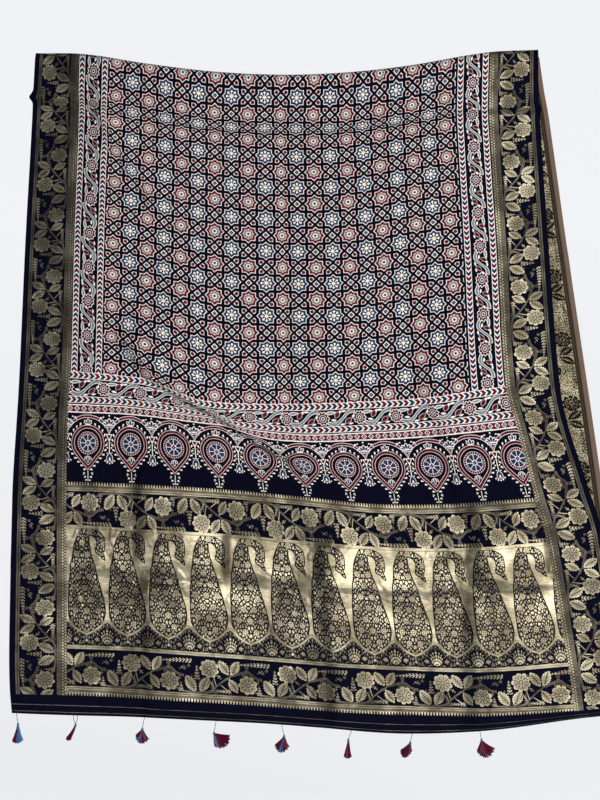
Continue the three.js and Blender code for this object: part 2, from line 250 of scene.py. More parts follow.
def sheet_row(across, along):
    """The middle of the sheet along one row, in millimetres. Below 0, along runs down the back flap."""
    down = abs(along)
    facing = 1 if along < 0 else -1
    turned = curl(across, down)
    fold_line = front_z(across, 0)
    if down < FOLD_ARC:
        angle = down / FOLD_RADIUS
        y = turned + facing * FOLD_RADIUS * math.sin(angle)
        return front_x(across, 0), y, fold_line - FOLD_RADIUS * (1 - math.cos(angle))
    settle = (FOLD_ARC - FOLD_RADIUS) * math.exp((FOLD_ARC - down) / FOLD_DROP_BLEND)
    loose = ripples(across, down) * smooth((down - FOLD_ARC) / 60)
    if along < 0:
        lift = sum(fold_at(fold, across, along)[0] for fold in BACK_FOLDS)
        share = (across + EDGE) / CLOTH["width"]
        left, right = (through([s[0] for s in SLIP], [s[k] for s in SLIP], down) for k in (1, 2))
        wave = np.sin(2 * np.pi * across / SWAY["back_wave"])
        sway = SWAY["back_depth"] * smooth(down / CLOTH["back"]) * wave
        y = turned + clearance(down) + sway + lift + loose
        return front_x(across, 0) + mix(left, right, share), y, fold_line - down + settle
    lift, moved_across, moved_down = sum(fold_at(fold, across, along) for fold in FRONT_FOLDS)
    sway = SWAY["depth"] * smooth(down / CLOTH["front"]) * np.sin(2 * np.pi * across / SWAY["wave"])
    y = turned - clearance(down) - sway - lift - loose
    return front_x(across, down) + moved_across, y, front_z(across, down) + settle - moved_down


# ---- The strips and borders, unrolled ----
ROSETTE_STEP = 65  # along a strip, between the middles of its rosettes, once unrolled
ROUND = 14  # within this of a rosette's middle a strip isn't stretched, so that the rosette stays round
TILE = 144.4  # the repeat of the woven flowers, once unrolled
# How long a repeat is on the cloth, and how far down the borders one of them begins.
REPEAT = {"at_fold": 115, "longer_at_foot": 20, "foot": 1140, "begins": 872}

ALL_ACROSS = (-BORDER_EDGE, BORDER_EDGE)
FIELD = (BACK_FIELD_END, FIELD_END)

# The printed vines: the part of the cloth that they run over, the way along them, a rosette's place, the
# pitch, and the way across them with its middle.
VINES = [  # (name, across from and to, down from and to, along, rosette, pitch, over, middle)
    ("left", VINE_LEFT, (-math.inf, FIELD_END), (0, 1), 163, 65.1, (1, 0), -432.5),
    ("right", VINE_RIGHT, (-math.inf, FIELD_END), (0, -1), -178.7, 62.05, (-1, 0), -429),
    ("cross", ALL_ACROSS, VINE_CROSS, (-1, 0), 394, 77.65, (0, 1), 654),
    ("back cross", ALL_ACROSS, VINE_BACK, (1, 0), 0, 77.65, (0, -1), 1072.5),
]
CHEVRONS = [  # (name, across from and to, down from and to, along, pitch, over, middle)
    ("left outer", (-BORDER_EDGE, VINE_LEFT[0]), FIELD, (0, 1), 9.3, (1, 0), -459),
    ("left inner", (VINE_LEFT[1], STRIP_LEFT), FIELD, (0, 1), 9.3, (1, 0), -406.5),
    ("right inner", (STRIP_RIGHT, VINE_RIGHT[0]), FIELD, (0, -1), 9.3, (-1, 0), -401),
    ("right outer", (VINE_RIGHT[1], BORDER_EDGE), FIELD, (0, -1), 9.3, (-1, 0), -457.5),
    ("cross upper", ALL_ACROSS, (FIELD_END, VINE_CROSS[0]), (-1, 0), 11.8, (0, 1), 630.5),
    ("cross lower", ALL_ACROSS, (VINE_CROSS[1], STRIP_END), (-1, 0), 11.8, (0, 1), 676.5),
    ("back upper", ALL_ACROSS, (VINE_BACK[1], BACK_FIELD_END), (1, 0), 11.8, (0, -1), 1049.5),
    ("back lower", ALL_ACROSS, (BACK_STRIP_END, VINE_BACK[0]), (1, 0), 11.8, (0, -1), 1095.5),
]
CHEVRON_STEP = 10  # between two arrowheads, once unrolled
CHEVRON_SIDE = 100  # added across the chevrons, to tell them from the vine


def repeats(down):
    """How many woven repeats lie above a place: they grow longer towards the hem."""
    growth = math.sqrt(REPEAT["longer_at_foot"] / REPEAT["at_fold"])
    turned = np.arctan(down / REPEAT["foot"] * growth)
    return REPEAT["foot"] / (REPEAT["at_fold"] * growth) * turned


def strip_places(finishes, across, along, mid_across, mid_along):
    """Where each corner lies once its strip is unrolled: along the strip, and across it."""
    finish = np.repeat(finishes, 4)
    mid = (np.repeat(mid_across, 4), np.repeat(mid_along, 4))
    t = (repeats(along) - repeats(REPEAT["begins"])) * TILE
    s = np.abs(across) - BORDER_EDGE

    def within(sides, ends):
        inside = (mid[0] > sides[0]) & (mid[0] < sides[1]) & (mid[1] > ends[0]) & (mid[1] < ends[1])
        return inside & (finish == "strips")

    for _, sides, ends, way, rosette, pitch, over, middle in VINES:
        here = within(sides, ends)
        run = across * way[0] + along * way[1] - rosette
        count = np.round(run / pitch)
        past = run - count * pitch
        stretched = np.maximum(np.abs(past) - ROUND, 0) * (ROSETTE_STEP / 2 - ROUND) / (pitch / 2 - ROUND)
        even = count * ROSETTE_STEP + np.sign(past) * (np.minimum(np.abs(past), ROUND) + stretched)
        t = np.where(here, even, t)
        s = np.where(here, across * over[0] + along * over[1] - middle, s)
    for _, sides, ends, way, pitch, over, middle in CHEVRONS:
        here = within(sides, ends)
        t = np.where(here, (across * way[0] + along * way[1]) / pitch * CHEVRON_STEP, t)
        s = np.where(here, across * over[0] + along * over[1] - middle + CHEVRON_SIDE, s)
    return t, s


# ---- Writing a pattern as sums ----
class Number:
    """What comes out of a node. A sum made with it adds Math nodes to the same material."""

    def __init__(self, socket):
        self.socket = socket

    def other(self, name):
        """Another output of the same node."""
        return Number(self.socket.node.outputs[name])

    def repeat(self, half):
        """The number within its repeat, which runs from -half to half."""
        return self.wrap(half, -half)

    def inside(self, edge=0.5):
        """1 where a distance in millimetres is less than 0 and 0 where it is more, with a soft edge."""
        return self.times_plus(-1 / edge, 0.5, use_clamp=True)


def add(tree, kind, inputs, points=(), stops=(), **settings):
    """Adds a node with its settings and links.

    Its inputs, by index or name, are numbers, colours or what other nodes give. A curve runs smoothly
    through its points, from 0 to 1. A ramp has a plain step of colour at each of its stops.
    """
    node = tree.nodes.new(kind)
    if points:
        curve = node.mapping.curves[0].points
        curve[0].location = points[0]
        curve[-1].location = points[-1]
        for point in points[1:-1]:
            curve.new(*point)
        node.mapping.update()
    if stops:
        ramp = node.color_ramp
        ramp.interpolation = "CONSTANT"
        ramp.elements.remove(ramp.elements[1])
        ramp.elements[0].color = srgb(stops[0][1])
        for place, colour in stops[1:]:
            ramp.elements.new(place).color = srgb(colour)
    for name, value in settings.items():
        setattr(node, name, value)
    for name, value in inputs.items():
        if isinstance(value, Number):
            tree.links.new(value.socket, node.inputs[name])
        else:
            node.inputs[name].default_value = value
    shown = [output for output in node.outputs if output.enabled]
    return Number(shown[0]) if shown else None


SUMS = {
    "__add__": "ADD",
    "__sub__": "SUBTRACT",
    "__mul__": "MULTIPLY",
    "__truediv__": "DIVIDE",
    "__mod__": "FLOORED_MODULO",
    "__abs__": "ABSOLUTE",
    "least": "MINIMUM",
    "most": "MAXIMUM",
    "soft_most": "SMOOTH_MAX",
    "times_plus": "MULTIPLY_ADD",
    "wrap": "WRAP",
    "floor": "FLOOR",
    "round": "ROUND",
    "root": "SQRT",
    "sine": "SINE",
    "cosine": "COSINE",
    "turned_from": "ARCTAN2",
    "over": "GREATER_THAN",
}


def sum_of(operation):
    """A way to work out one number from others, with a node that has this operation."""

    def join(first, *rest, use_clamp=False):
        terms = dict(enumerate([first, *rest]))
        tree = first.socket.id_data
        return add(tree, "ShaderNodeMath", terms, operation=operation, use_clamp=use_clamp)

    return join


for sum_name, operation in SUMS.items():
    setattr(Number, sum_name, sum_of(operation))
Number.__neg__ = lambda number: number * -1
Number.__rsub__ = lambda number, first: number.times_plus(-1, first)


def span(a, b):
    """The length of the way (a, b)."""
    return a.times_plus(a, b * b).root()


def nearest(distances):
    """The least of some distances."""
    closest = distances[0]
    for distance in distances[1:]:
        closest = closest.least(distance)
    return closest


def srgb(hexa):
    """An sRGB hex colour as Blender's linear one."""
    parts = [int(hexa[i : i + 2], 16) / 255 for i in (1, 3, 5)]
    return [*(c / 12.92 if c <= 0.04045 else ((c + 0.055) / 1.055) ** 2.4 for c in parts), 1]


def paint(tree, ground, coats):
    """A ground with coats over it, one after another, each where its mask is 1."""
    for mask, colour in coats:
        colour = srgb(colour) if isinstance(colour, str) else colour
        ground = add(tree, "ShaderNodeMix", {0: mask, 6: ground, 7: colour}, data_type="RGBA")
    return ground


# ---- Dyes and threads ----
NIGHT = "#05061a"  # iron-black over indigo: the ground of the print and the warp of the borders
RESIST = "#f4efe8"  # cloth kept white by the resist
MADDER = "#680f29"  # the red of the stars, the rosettes and the roundels
INDIGO = "#153159"  # the blue of the other stars and of the roundels' hearts
SKY = "#7f94a6"  # indigo dipped once: the vines' waves
IRON = "#5c5054"  # thin iron black, smudged in the red stars' hearts
ZARI = "#ab9f81"  # pale gold thread
ZARI_TIED_AND_SHADED = "#5d5746"  # where the warp ties it down, and the painted shade on the gold
ZARI_LOOSE_AND_LIT = "#e0d7bb"  # where it lies loose, and the painted highlight on the gold
REVERSE_FIELD = "#7b6c70"  # what shows through from behind, over the field
REVERSE_ROUNDELS = "#6b5f66"
REVERSE_HEM = "#2a2630"
FLOATS = "#8d7a62"  # the brown floats behind the end panel
FLECKS = "#d8cba0"  # the gold flecks behind the border
BEHIND_BORDER = "#15110f"
SELVEDGE = {"inner": "#4a4036", "stripe": "#231d1a", "outer": "#776456"}
RAYON_RED = "#560a2a"
RAYON_BLUE = "#2f74a8"
RAYON_GREY = "#66788c"
PAPER = "#eef0f2"  # what the backdrop paper gives off
PAPER_DULL = "#85878a"  # and its own colour under the lamps


# ---- The cloth itself ----
THREAD_PITCH = 1.3  # threads are about 0.3 mm apart on the real cloth, which is too fine to show
CRUMPLE_DEPTH = 2.2
WEAVE_DEPTH = 0.4
# Sizes of unevenness, as waves in each millimetre.
WANDER_WAVES = 0.045
DYE_WAVES = 0.35
CRUMPLE_WAVES = 0.03
SHEEN_PATCH_WAVES = 0.018  # of the gold's patches of looser thread, painted highlight and painted shade
FLECK_WAVES = 0.42  # of the gold flecks behind the border


def lay(tree, name, wander):
    """A place on the cloth in millimetres, which wanders a little as a hand-printed or woven line does."""
    flat = add(tree, "ShaderNodeUVMap", {}, uv_map=name)
    noise = {"Vector": flat, "Scale": WANDER_WAVES, "Detail": 2.0}
    stray = add(tree, "ShaderNodeTexNoise", noise, noise_dimensions="2D").other("Color")
    stray = add(tree, "ShaderNodeVectorMath", {0: stray, 1: (0.5, 0.5, 0.5)}, operation="SUBTRACT")
    moved = {0: stray, 1: (wander * 2, wander * 2, 0), 2: flat}
    return add(tree, "ShaderNodeVectorMath", moved, operation="MULTIPLY_ADD")


def cloth_of(name, pattern, roughness=0.78):
    """A material whose colour, and gold where it has any, are patterns over the weave's crossing threads."""
    material = bpy.data.materials.new(name)
    material.use_nodes = True
    tree = material.node_tree
    tree.nodes.clear()
    flat = add(tree, "ShaderNodeUVMap", {}, uv_map="cloth")
    across = add(tree, "ShaderNodeSeparateXYZ", {0: flat})
    down = across.other("Y")
    # The threads are drawn coarser than they are, so that they show at all.
    warp = (across * (2 * math.pi / THREAD_PITCH)).sine()
    weft = (down * (2 * math.pi / THREAD_PITCH)).sine()
    noise = {"Vector": flat, "Scale": DYE_WAVES, "Detail": 3.0}
    uneven = add(tree, "ShaderNodeTexNoise", noise, noise_dimensions="2D")
    # Slubs are long and thin, and lie along the weft.
    stretched = add(tree, "ShaderNodeVectorMath", {0: flat, 1: (0.02, 0.9, 1)}, operation="MULTIPLY")
    noise = {"Vector": stretched, "Scale": 1.0, "Detail": 2.0}
    slubs = add(tree, "ShaderNodeTexNoise", noise, noise_dimensions="2D")
    noise = {"Vector": flat, "Scale": CRUMPLE_WAVES, "Detail": 2.0}
    crumple = add(tree, "ShaderNodeTexNoise", noise, noise_dimensions="2D")
    creased = abs(crumple - 0.5).times_plus(1.4, crumple * 1.6)
    height = (warp * weft).times_plus(0.5, uneven * 0.6) + slubs * 0.8
    colour, gold = pattern(tree)

    # The dye has taken unevenly, so the colours are a little darker and lighter from place to place.
    worn = uneven.times_plus(0.5, 0.76)
    worn = add(tree, "ShaderNodeCombineColor", {0: worn, 1: worn, 2: worn})
    both = {0: 1.0, 6: colour, 7: worn}
    colour = add(tree, "ShaderNodeMix", both, data_type="RGBA", blend_type="MULTIPLY")
    bump = {"Strength": 1.0, "Distance": CRUMPLE_DEPTH * MM, "Height": creased}
    soft = add(tree, "ShaderNodeBump", bump)
    bump = {"Strength": 0.35, "Distance": WEAVE_DEPTH * MM, "Height": height, "Normal": soft}
    normal = add(tree, "ShaderNodeBump", bump)
    surface = {"Base Color": colour, "Roughness": roughness, "Specular IOR Level": 0.05, "Normal": normal}
    if gold:
        surface["Metallic"] = gold * 0.9
        surface["Roughness"] = gold.times_plus(-0.42, roughness)
    shader = add(tree, "ShaderNodeBsdfPrincipled", surface)
    add(tree, "ShaderNodeOutputMaterial", {"Surface": shader})
    return material


# ---- The star field ----
STAR_ACROSS = 37.3  # between a star and the small diamond beside it
STAR_DOWN = 30.0
STAR_SIZE = 33.0  # a cell of the pattern, when its shapes are drawn in millimetres
A_STAR = (-7, 12)  # the middle of one of the stars
SLANT = 0.707  # turns a distance along both ways into one across a 45 degree line


def star_field(tree):
    """Red and blue eight-pointed stars in turn on a dark ground, with kites and diamonds between them."""
    across = add(tree, "ShaderNodeSeparateXYZ", {0: lay(tree, "cloth", 1.1)})
    down = across.other("Y")
    column = (across - A_STAR[0]) / STAR_ACROSS
    row = (down - A_STAR[1]) / STAR_DOWN
    x = column.repeat(0.5)
    y = row.repeat(0.5)
    blue = (column + 0.5).floor() % 2
    between = ((column + 0.5).floor() + (row + 0.5).floor()) % 2
    most = abs(x).most(abs(y))
    least = abs(x).least(abs(y))

    # A star is a square and a square on its corner, and its points reach into the cells beside it.
    reach = abs(between - most)
    square = reach.most(least) - 0.415
    corner = (reach + least - 0.588) * SLANT
    star = square.least(corner) * STAR_SIZE
    in_cell = 1 - between
    radius = span(x, y) * STAR_SIZE
    turn = y.turned_from(x)
    eighth = turn.repeat(math.pi / 8)
    sixteenth = (turn + math.pi / 8).repeat(math.pi / 8)

    white = (star + 0.3).inside()
    band = (star + 1.7).inside()
    heart_blue = (star + 5.5).inside() * in_cell
    petal_x = radius * sixteenth.cosine() - 6.2
    petal_y = radius * sixteenth.sine()
    petals = (span(petal_x * 0.48, petal_y) - 1.5).inside()
    heart_red = (radius - 9.9 - (turn * 8).cosine() * 0.5).inside() * in_cell
    speck_x = radius - 7.0
    speck_y = radius * turn.repeat(math.pi / 10)
    specks = (span(speck_x, speck_y) - 1.65).inside() * 0.8
    dot = (radius - 2.5).inside() * in_cell

    kite = (most - 0.42).soft_most((most - least - 0.22) * SLANT, 0.05)
    kite = kite.soft_most((0.40 - most - least) * SLANT, 0.05)
    kite = (kite * STAR_SIZE + 0.3).inside() * between
    seed = (span(most - 0.285, least - 0.285) * STAR_SIZE - 3.5).inside() * between
    diamond = ((most + least - 0.205) * SLANT * STAR_SIZE).inside() * between
    stone = ((most + least - 0.135) * SLANT * STAR_SIZE).inside() * between
    spark = ((most + least - 0.045) * SLANT * STAR_SIZE).inside() * between

    star_colour = paint(tree, srgb(MADDER), [(blue, INDIGO)])
    heart = add(tree, "ShaderNodeMix", {0: blue, 2: heart_red, 3: heart_blue})
    smudge = (abs(radius - 7.0) - 2.4).inside() * 0.5
    figure = paint(tree, srgb(RESIST), [(smudge, IRON), (specks, IRON), (dot, INDIGO)])
    figure = paint(tree, figure, [(blue, RESIST)])
    figure = paint(tree, figure, [(petals * blue, NIGHT)])
    return paint(
        tree,
        srgb(NIGHT),
        [
            (kite, RESIST),
            (seed, MADDER),
            (diamond, RESIST),
            (stone, INDIGO),
            (spark, SKY),
            (white, RESIST),
            (band, star_colour),
            (heart, figure),
        ],
    )


# ---- The strips around the field ----
def leaf(tree, place, middle, degrees, length, width):
    """A leaf pointed at both ends: the distance to it, and where a place is along it and beside it."""
    settled = {"Vector": place, "Location": (*middle, 0), "Rotation": (0, 0, math.radians(degrees))}
    settled["Scale"] = (length / 2, length / 2, 1)
    local = add(tree, "ShaderNodeMapping", settled, vector_type="TEXTURE")
    x = add(tree, "ShaderNodeSeparateXYZ", {0: local})
    y = x.other("Y")
    fat = width / length
    return (abs(y) - (1 - x * x) * fat) * (length * 0.42), x, y


def leaves(tree, place, rows):
    """The distance to the nearest of some leaves, given as rows of (middle, degrees, length, width)."""
    return nearest([leaf(tree, place, *row)[0] for row in rows])


# The wave between two rosettes: (share of the way, share of the strip's width).
WAVE = [
    (0, 0.02), (0.12, 0.02), (0.25, 0.05), (0.41, 0.36), (0.54, 0.72), (0.68, 0.92), (0.85, 0.80), (1, 0.70),
]
# The leaves beside the wave: (middle, degrees, length, width), placed from one rosette's middle.
BLUE_LEAF = ((50.0, -10.5), 8, 21, 6.5)
RED_LEAVES = [((22.0, 5.5), 48, 15, 7), ((38.5, -6.5), 66, 14, 7)]
WHITE_LEAVES = [
    ((18.5, 11.5), 20, 8, 3.4),
    ((44.5, 4.0), -12, 9, 4.6),
    ((31.5, 13.0), 12, 9, 4),
    ((28.0, -13.5), 4, 9, 4),
    ((13.0, -3.0), 60, 7, 4),
    ((33.5, -12.0), 70, 7, 4),
]


def strips(tree):
    """A vine with rosettes between two rows of arrowheads."""
    along = add(tree, "ShaderNodeSeparateXYZ", {0: lay(tree, "strip", 0.7)})
    over = along.other("Y")
    in_arrows = over.over(CHEVRON_SIDE / 2)

    beside = over - CHEVRON_SIDE
    nested = along - abs(beside) * 0.95
    arrow = abs((nested % CHEVRON_STEP) - 4.0) - 3.3
    arrow = (arrow * 0.75).most(abs(beside) - 5.3).inside()
    arrow_colour = paint(tree, srgb(MADDER), [((nested % (2 * CHEVRON_STEP)).over(9.0), INDIGO)])
    arrows = paint(tree, srgb(NIGHT), [((abs(beside) - 6.5).inside(), RESIST), (arrow, arrow_colour)])

    near = along.repeat(ROSETTE_STEP / 2)
    share = (along / ROSETTE_STEP) % 1
    course = add(tree, "ShaderNodeFloatCurve", {"Value": share}, points=WAVE)
    band = abs(over - course.times_plus(29.0, -14.5)) * 0.8
    shown = abs(share - 0.5) * ROSETTE_STEP - 24.5
    band_white = band - 3.1
    place = add(tree, "ShaderNodeCombineXYZ", {0: share * ROSETTE_STEP, 1: over})
    blue_leaf = leaves(tree, place, [BLUE_LEAF])
    red_leaves = leaves(tree, place, RED_LEAVES)
    white_leaves = leaves(tree, place, WHITE_LEAVES)

    radius = span(near, over)
    turn = over.turned_from(near)
    lobes = (turn * 10).cosine()
    outer = (radius - 13.2 - lobes * 1.2).inside()
    petals = (radius - 11.4 - lobes * 1.6).inside()
    parting = (abs((turn + math.pi / 10).repeat(math.pi / 10)) * radius - 0.7).inside()
    inner_white = (radius - 7.4).inside()
    ring = (radius - 6.4).inside()
    inner = (radius - 3.7).inside()
    dot = (radius - 2.3).inside()
    vine = paint(
        tree,
        srgb(NIGHT),
        [
            (white_leaves.inside(), RESIST),
            ((blue_leaf - 0.2).inside(), RESIST),
            ((blue_leaf + 1.2).inside(), SKY),
            ((red_leaves - 0.5).inside(), RESIST),
            (red_leaves.inside(), MADDER),
            (band_white.most(shown).inside(), RESIST),
            ((band - 1.8).most(shown + 1).inside(), NIGHT),
            ((band - 1.1).most(shown + 1).inside(), SKY),
            (outer, RESIST),
            (petals, MADDER),
            (parting * petals, NIGHT),
            (inner_white, RESIST),
            (ring, INDIGO),
            (inner, RESIST),
            (dot, MADDER),
        ],
    )
    return paint(tree, vine, [(in_arrows, arrows)])


# ---- The roundels ----
ROUNDEL_STEP = 87.7
ROUNDEL_MIDDLE = 757
LEAN = math.asin(0.664)  # how the roundels' drop narrows to its point
# Half of the petals between the arches and on top of them: (middle, degrees, length, width).
LOTUS = [((0, -0.5), 90, 12, 7), ((5.0, 1.4), 128, 11.5, 5.6), ((8.6, 4.0), 158, 10.5, 4.6)]
TUFT = [((0, -39.5), 90, 11, 5.5), ((4.6, -38.0), 128, 9, 4.2)]


def rings(tree, distance, bands, reach):
    """Rings of colour around a middle, out to reach: (outer edge, colour), from the middle outwards."""
    starts = [0, *(edge / reach for edge, _ in bands)]
    stops = [(start, colour) for start, (_, colour) in zip(starts, bands)]
    return add(tree, "ShaderNodeValToRGB", {0: distance / reach}, stops=stops)


def roundels(tree):
    """A red strip with white diamonds over a row of roundels, each in a pointed drop under an arch."""
    across = add(tree, "ShaderNodeSeparateXYZ", {0: lay(tree, "cloth", 0.9)})
    down = across.other("Y")
    step = ROUNDEL_STEP / 2
    x = (across + 424).repeat(step)
    y = down - ROUNDEL_MIDDLE
    side = abs(x)
    radius = span(x, y)
    turn = y.turned_from(x)

    # Outside the roundel the rings are drops: circles with two straight sides that meet below.
    fall = y * math.cos(LEAN) - side * math.sin(LEAN)
    below = fall.over(0.0)
    straight = side * math.cos(LEAN) + y * math.sin(LEAN)
    drop = add(tree, "ShaderNodeMix", {0: below, 2: radius, 3: straight}).most(24.0)
    drop_rings = [(26.8, NIGHT), (27.6, RESIST), (32.4, MADDER), (33.2, RESIST), (60, NIGHT)]
    ground = rings(tree, drop, drop_rings, 60)
    heart_rings = [(5.2, RESIST), (14.9, INDIGO), (21.2, RESIST), (30, NIGHT)]
    centre = rings(tree, radius, heart_rings, 30)
    centre_shown = (radius - 20.4 - abs((turn * 13).cosine()) * 0.9).inside()

    diamond = ((side + abs(y)) * SLANT - 3.4).inside()
    core = ((side + abs(y)) * SLANT - 0.6).inside()
    eighth = turn.repeat(math.pi / 8)
    spoke = (abs(eighth) * radius - 0.6).most(5.6 - radius).inside() * (radius - 14.8).inside()
    rim = radius * (turn + math.pi / 8).repeat(math.pi / 8)
    petal = (span((radius - 13.4) * 1.1, rim) - 2.4).most(14.0 - radius).inside()
    bead = (span((radius - 18.3) * 0.8, radius * turn.repeat(math.pi / 26)) - 2.1).inside()
    centre = paint(
        tree,
        centre,
        [(petal, INDIGO), (spoke, RESIST), (diamond, MADDER), (core, RESIST), (bead, MADDER)],
    )

    stitch = (span(drop - 30.0, radius * turn.wrap(math.pi / 44, -math.pi / 40)) - 1.0).inside()
    comma_x = drop - 37.6
    round_top = side.turned_from(-y).least(math.pi / 2 + LEAN)
    comma_y = (round_top * 37.6 + fall.most(0.0) + 4.0).repeat(4.7)
    comma = (span(comma_x - 0.6, comma_y) - 1.7).least(span(comma_x + 1.0, comma_y - 1.4) - 1.1)
    comma = comma.least(span(comma_x + 1.7, comma_y - 2.8) - 0.7)
    comma = comma.most((8.5 - side).least(-y)).most(fall - 38).inside()
    bud = add(tree, "ShaderNodeCombineXYZ", {0: x, 1: y})
    inner_bud = leaf(tree, bud, (0, 29.8), 90, 14, 5.6)[0]
    mirrored = add(tree, "ShaderNodeCombineXYZ", {0: side, 1: y})
    side_bud = leaf(tree, mirrored, (4.4, 27.6), 52, 9, 3.8)[0]
    inner_white = inner_bud.least(side_bud)

    # A ladder of paired curls goes down from the drop's point.
    rung = (y - 57.0).repeat(3.0)
    spread = side - 7.8 + (y - 56) * 0.36
    ladder = (span(spread * 0.75, rung + side * 0.3 - 1.2) - 1.2).least(span(spread - 2.2, rung - 1.0) - 0.9)
    ladder = ladder.most(abs(y - 62) - 8.0).least((side - 0.6).most(abs(y - 61.0) - 9.0))
    ladder = ladder.least(span(x, (y - 75.0) * 0.7) - 1.5).inside()

    # The arches pass over the roundels and meet between them.
    arch = radius - 46.6
    arch_bands = [(0.9, RESIST), (5.1, MADDER), (6.0, RESIST), (60, NIGHT)]
    arch_rings = rings(tree, arch.most(0.0), arch_bands, 60)
    in_arch = (abs(arch - 3.1) - 3.1).most(y + 16.0).inside()
    arch_stitch = (span(radius - 49.7, radius * turn.wrap(math.pi / 42, -math.pi / 50)) - 0.95).inside()
    outside = (-0.8 - arch).most(y + 8.0).inside(0.6)
    gap = step - side
    vee = ((y + 16.0) * 0.5 + gap - 6.6).most(-17.0 - y)
    vee_shown = (y - 2.0).inside()
    stem = (gap - 0.85).most(abs(y - 6.0) - 15.0).inside()
    curl_y = (y - 8.5).repeat(5.0)
    curls = (span(gap - 4.2, (curl_y + gap * 0.4 - 1.4) * 1.3) - 1.6).most(abs(y - 8.5) - 10.0).inside()
    bell = span(gap * 1.2, (y - 28.0) * 0.85) - 6.6
    bell = bell.most(y - 31.5 + (gap * 0.8).cosine()).least(span(gap * 1.6, y - 21.0) - 2.6)
    bell_vein = (span(gap * 1.2, (y - 29.0) * 0.6) - 2.0).inside()
    bell_way = gap.turned_from(y - 24.0)
    bell_dots = span(gap, y - 24.0) - 12.2
    bell_dots = (span(bell_dots * 0.8, bell_way.repeat(0.21) * 12.2) - 1.35).most(30.0 - y).inside()

    crown = y + 40.0
    place = add(tree, "ShaderNodeCombineXYZ", {0: gap, 1: crown})
    lotus = leaves(tree, place, LOTUS)
    base = (abs(crown - 8.4) - 0.9).most(gap - 9.0)
    under = (gap * 1.3 + (crown - 10.6) * 0.9 - 5.4).most(10.6 - crown)
    sprout = (span(gap - 17.0, (crown + 7.0) * 1.5) - 2.4).least(span((gap - 12.0) * 0.7, crown + 8.6) - 1.3)
    sprout = sprout.least(span(gap - 20.0, crown + 3.4) - 1.2).least(span(gap, (crown + 12.0) * 0.7) - 1.5)
    tuft = leaves(tree, mirrored, TUFT)
    tuft_line = (abs(y + 33.6) - 0.8).most(side - 5.4)

    body = paint(
        tree,
        ground,
        [
            (centre_shown, centre),
            (stitch, NIGHT),
            (comma, RESIST),
            (inner_white.inside(), RESIST),
            ((inner_white + 0.8).inside(), INDIGO),
            (outside, NIGHT),
            (ladder, RESIST),
            (in_arch, arch_rings),
            (arch_stitch * in_arch, NIGHT),
            (vee.inside() * vee_shown, RESIST),
            ((vee + 1.7).inside() * vee_shown, MADDER),
            (stem, RESIST),
            (curls, RESIST),
            ((bell - 1.1).inside(), RESIST),
            (bell.inside(), INDIGO),
            (bell_vein * bell.inside(), RESIST),
            (bell_dots, RESIST),
            ((lotus - 0.9).inside(), RESIST),
            ((lotus + 0.7).inside(), INDIGO),
            ((base - 1.0).inside(), RESIST),
            (base.inside(), MADDER),
            ((under - 1.0).inside(), RESIST),
            (under.inside(), INDIGO),
            (sprout.inside(), RESIST),
            ((tuft - 0.8).inside(), RESIST),
            ((tuft + 0.5).inside(), INDIGO),
            (tuft_line.inside(), RESIST),
        ],
    )

    # Above them: dark and white lines, then the red strip.
    lines = [(685.2, NIGHT), (687.4, RESIST), (699.0, MADDER), (701.4, RESIST), (704.5, NIGHT), (720, NIGHT)]
    strip = rings(tree, down - 640.0, [(edge - 640, colour) for edge, colour in lines], 80)
    jewel = abs((across - 5).repeat(7.3)) + abs(down - 693.2)
    strip = paint(
        tree,
        strip,
        [
            ((jewel - 5.9).inside(), RESIST),
            ((jewel - 4.1).inside(), INDIGO),
            ((jewel - 1.2).inside(), RESIST),
        ],
    )
    return paint(tree, body, [((down - 704.0).inside(), strip)])


# ---- The woven gold ----
def tones(ground, coats):
    """How much gold shows: a ground with coats over it, each where its mask is 1."""
    tree = coats[0][0].socket.id_data
    for mask, tone in coats:
        ground = add(tree, "ShaderNodeMix", {0: mask, 2: ground, 3: tone})
    return ground


def zari(tree, tone, bright=ZARI, dark=NIGHT):
    """Flat metal thread over dark warp, bright where it lies loose and dull where it is tied down, with
    painted highlights and painted shade in its streaks and patches.
    """
    # It gives the eye a pale gold with painted glints in short streaks along the weft, and painted highlights
    # and shade in soft patches.
    flat = add(tree, "ShaderNodeUVMap", {}, uv_map="cloth")
    along_weft = add(tree, "ShaderNodeVectorMath", {0: flat, 1: (0.055, 0.7, 1)}, operation="MULTIPLY")
    noise = {"Vector": along_weft, "Scale": 1.0, "Detail": 3.0}
    glint_streak = add(tree, "ShaderNodeTexNoise", noise, noise_dimensions="2D")
    noise = {"Vector": flat, "Scale": SHEEN_PATCH_WAVES, "Detail": 3.0}
    sheen_patches = add(tree, "ShaderNodeTexNoise", noise, noise_dimensions="2D")
    # painted highlights and painted shade: the noise moves the gold between its dull tied colour and its
    # bright loose one
    shade = (glint_streak + sheen_patches * 2.2).times_plus(1.5, -2.05, use_clamp=True)
    metal = {0: shade, 6: srgb(ZARI_TIED_AND_SHADED), 7: srgb(ZARI_LOOSE_AND_LIT)}
    metal = add(tree, "ShaderNodeMix", metal, data_type="RGBA")
    metal = add(tree, "ShaderNodeMix", {0: 0.4, 6: metal, 7: srgb(bright)}, data_type="RGBA")
    return add(tree, "ShaderNodeMix", {0: tone, 6: srgb(dark), 7: metal}, data_type="RGBA"), tone


def fern(along, over, start, end, half, pitch):
    """A spray of leaflets on an axis, which grow smaller from its start to its end."""
    left = (end - along) * (1 / (end - start))
    lean = math.copysign(0.9, end - start)
    leaflet = abs((along - abs(over) * lean).repeat(pitch / 2)) - pitch * 0.2
    leaflet = leaflet.most(abs(over) - (left * 0.8 + 0.2) * half).most(0.8 - abs(over))
    return leaflet.least(abs(over) - 0.35).most((abs(left - 0.5) - 0.5) * abs(end - start))


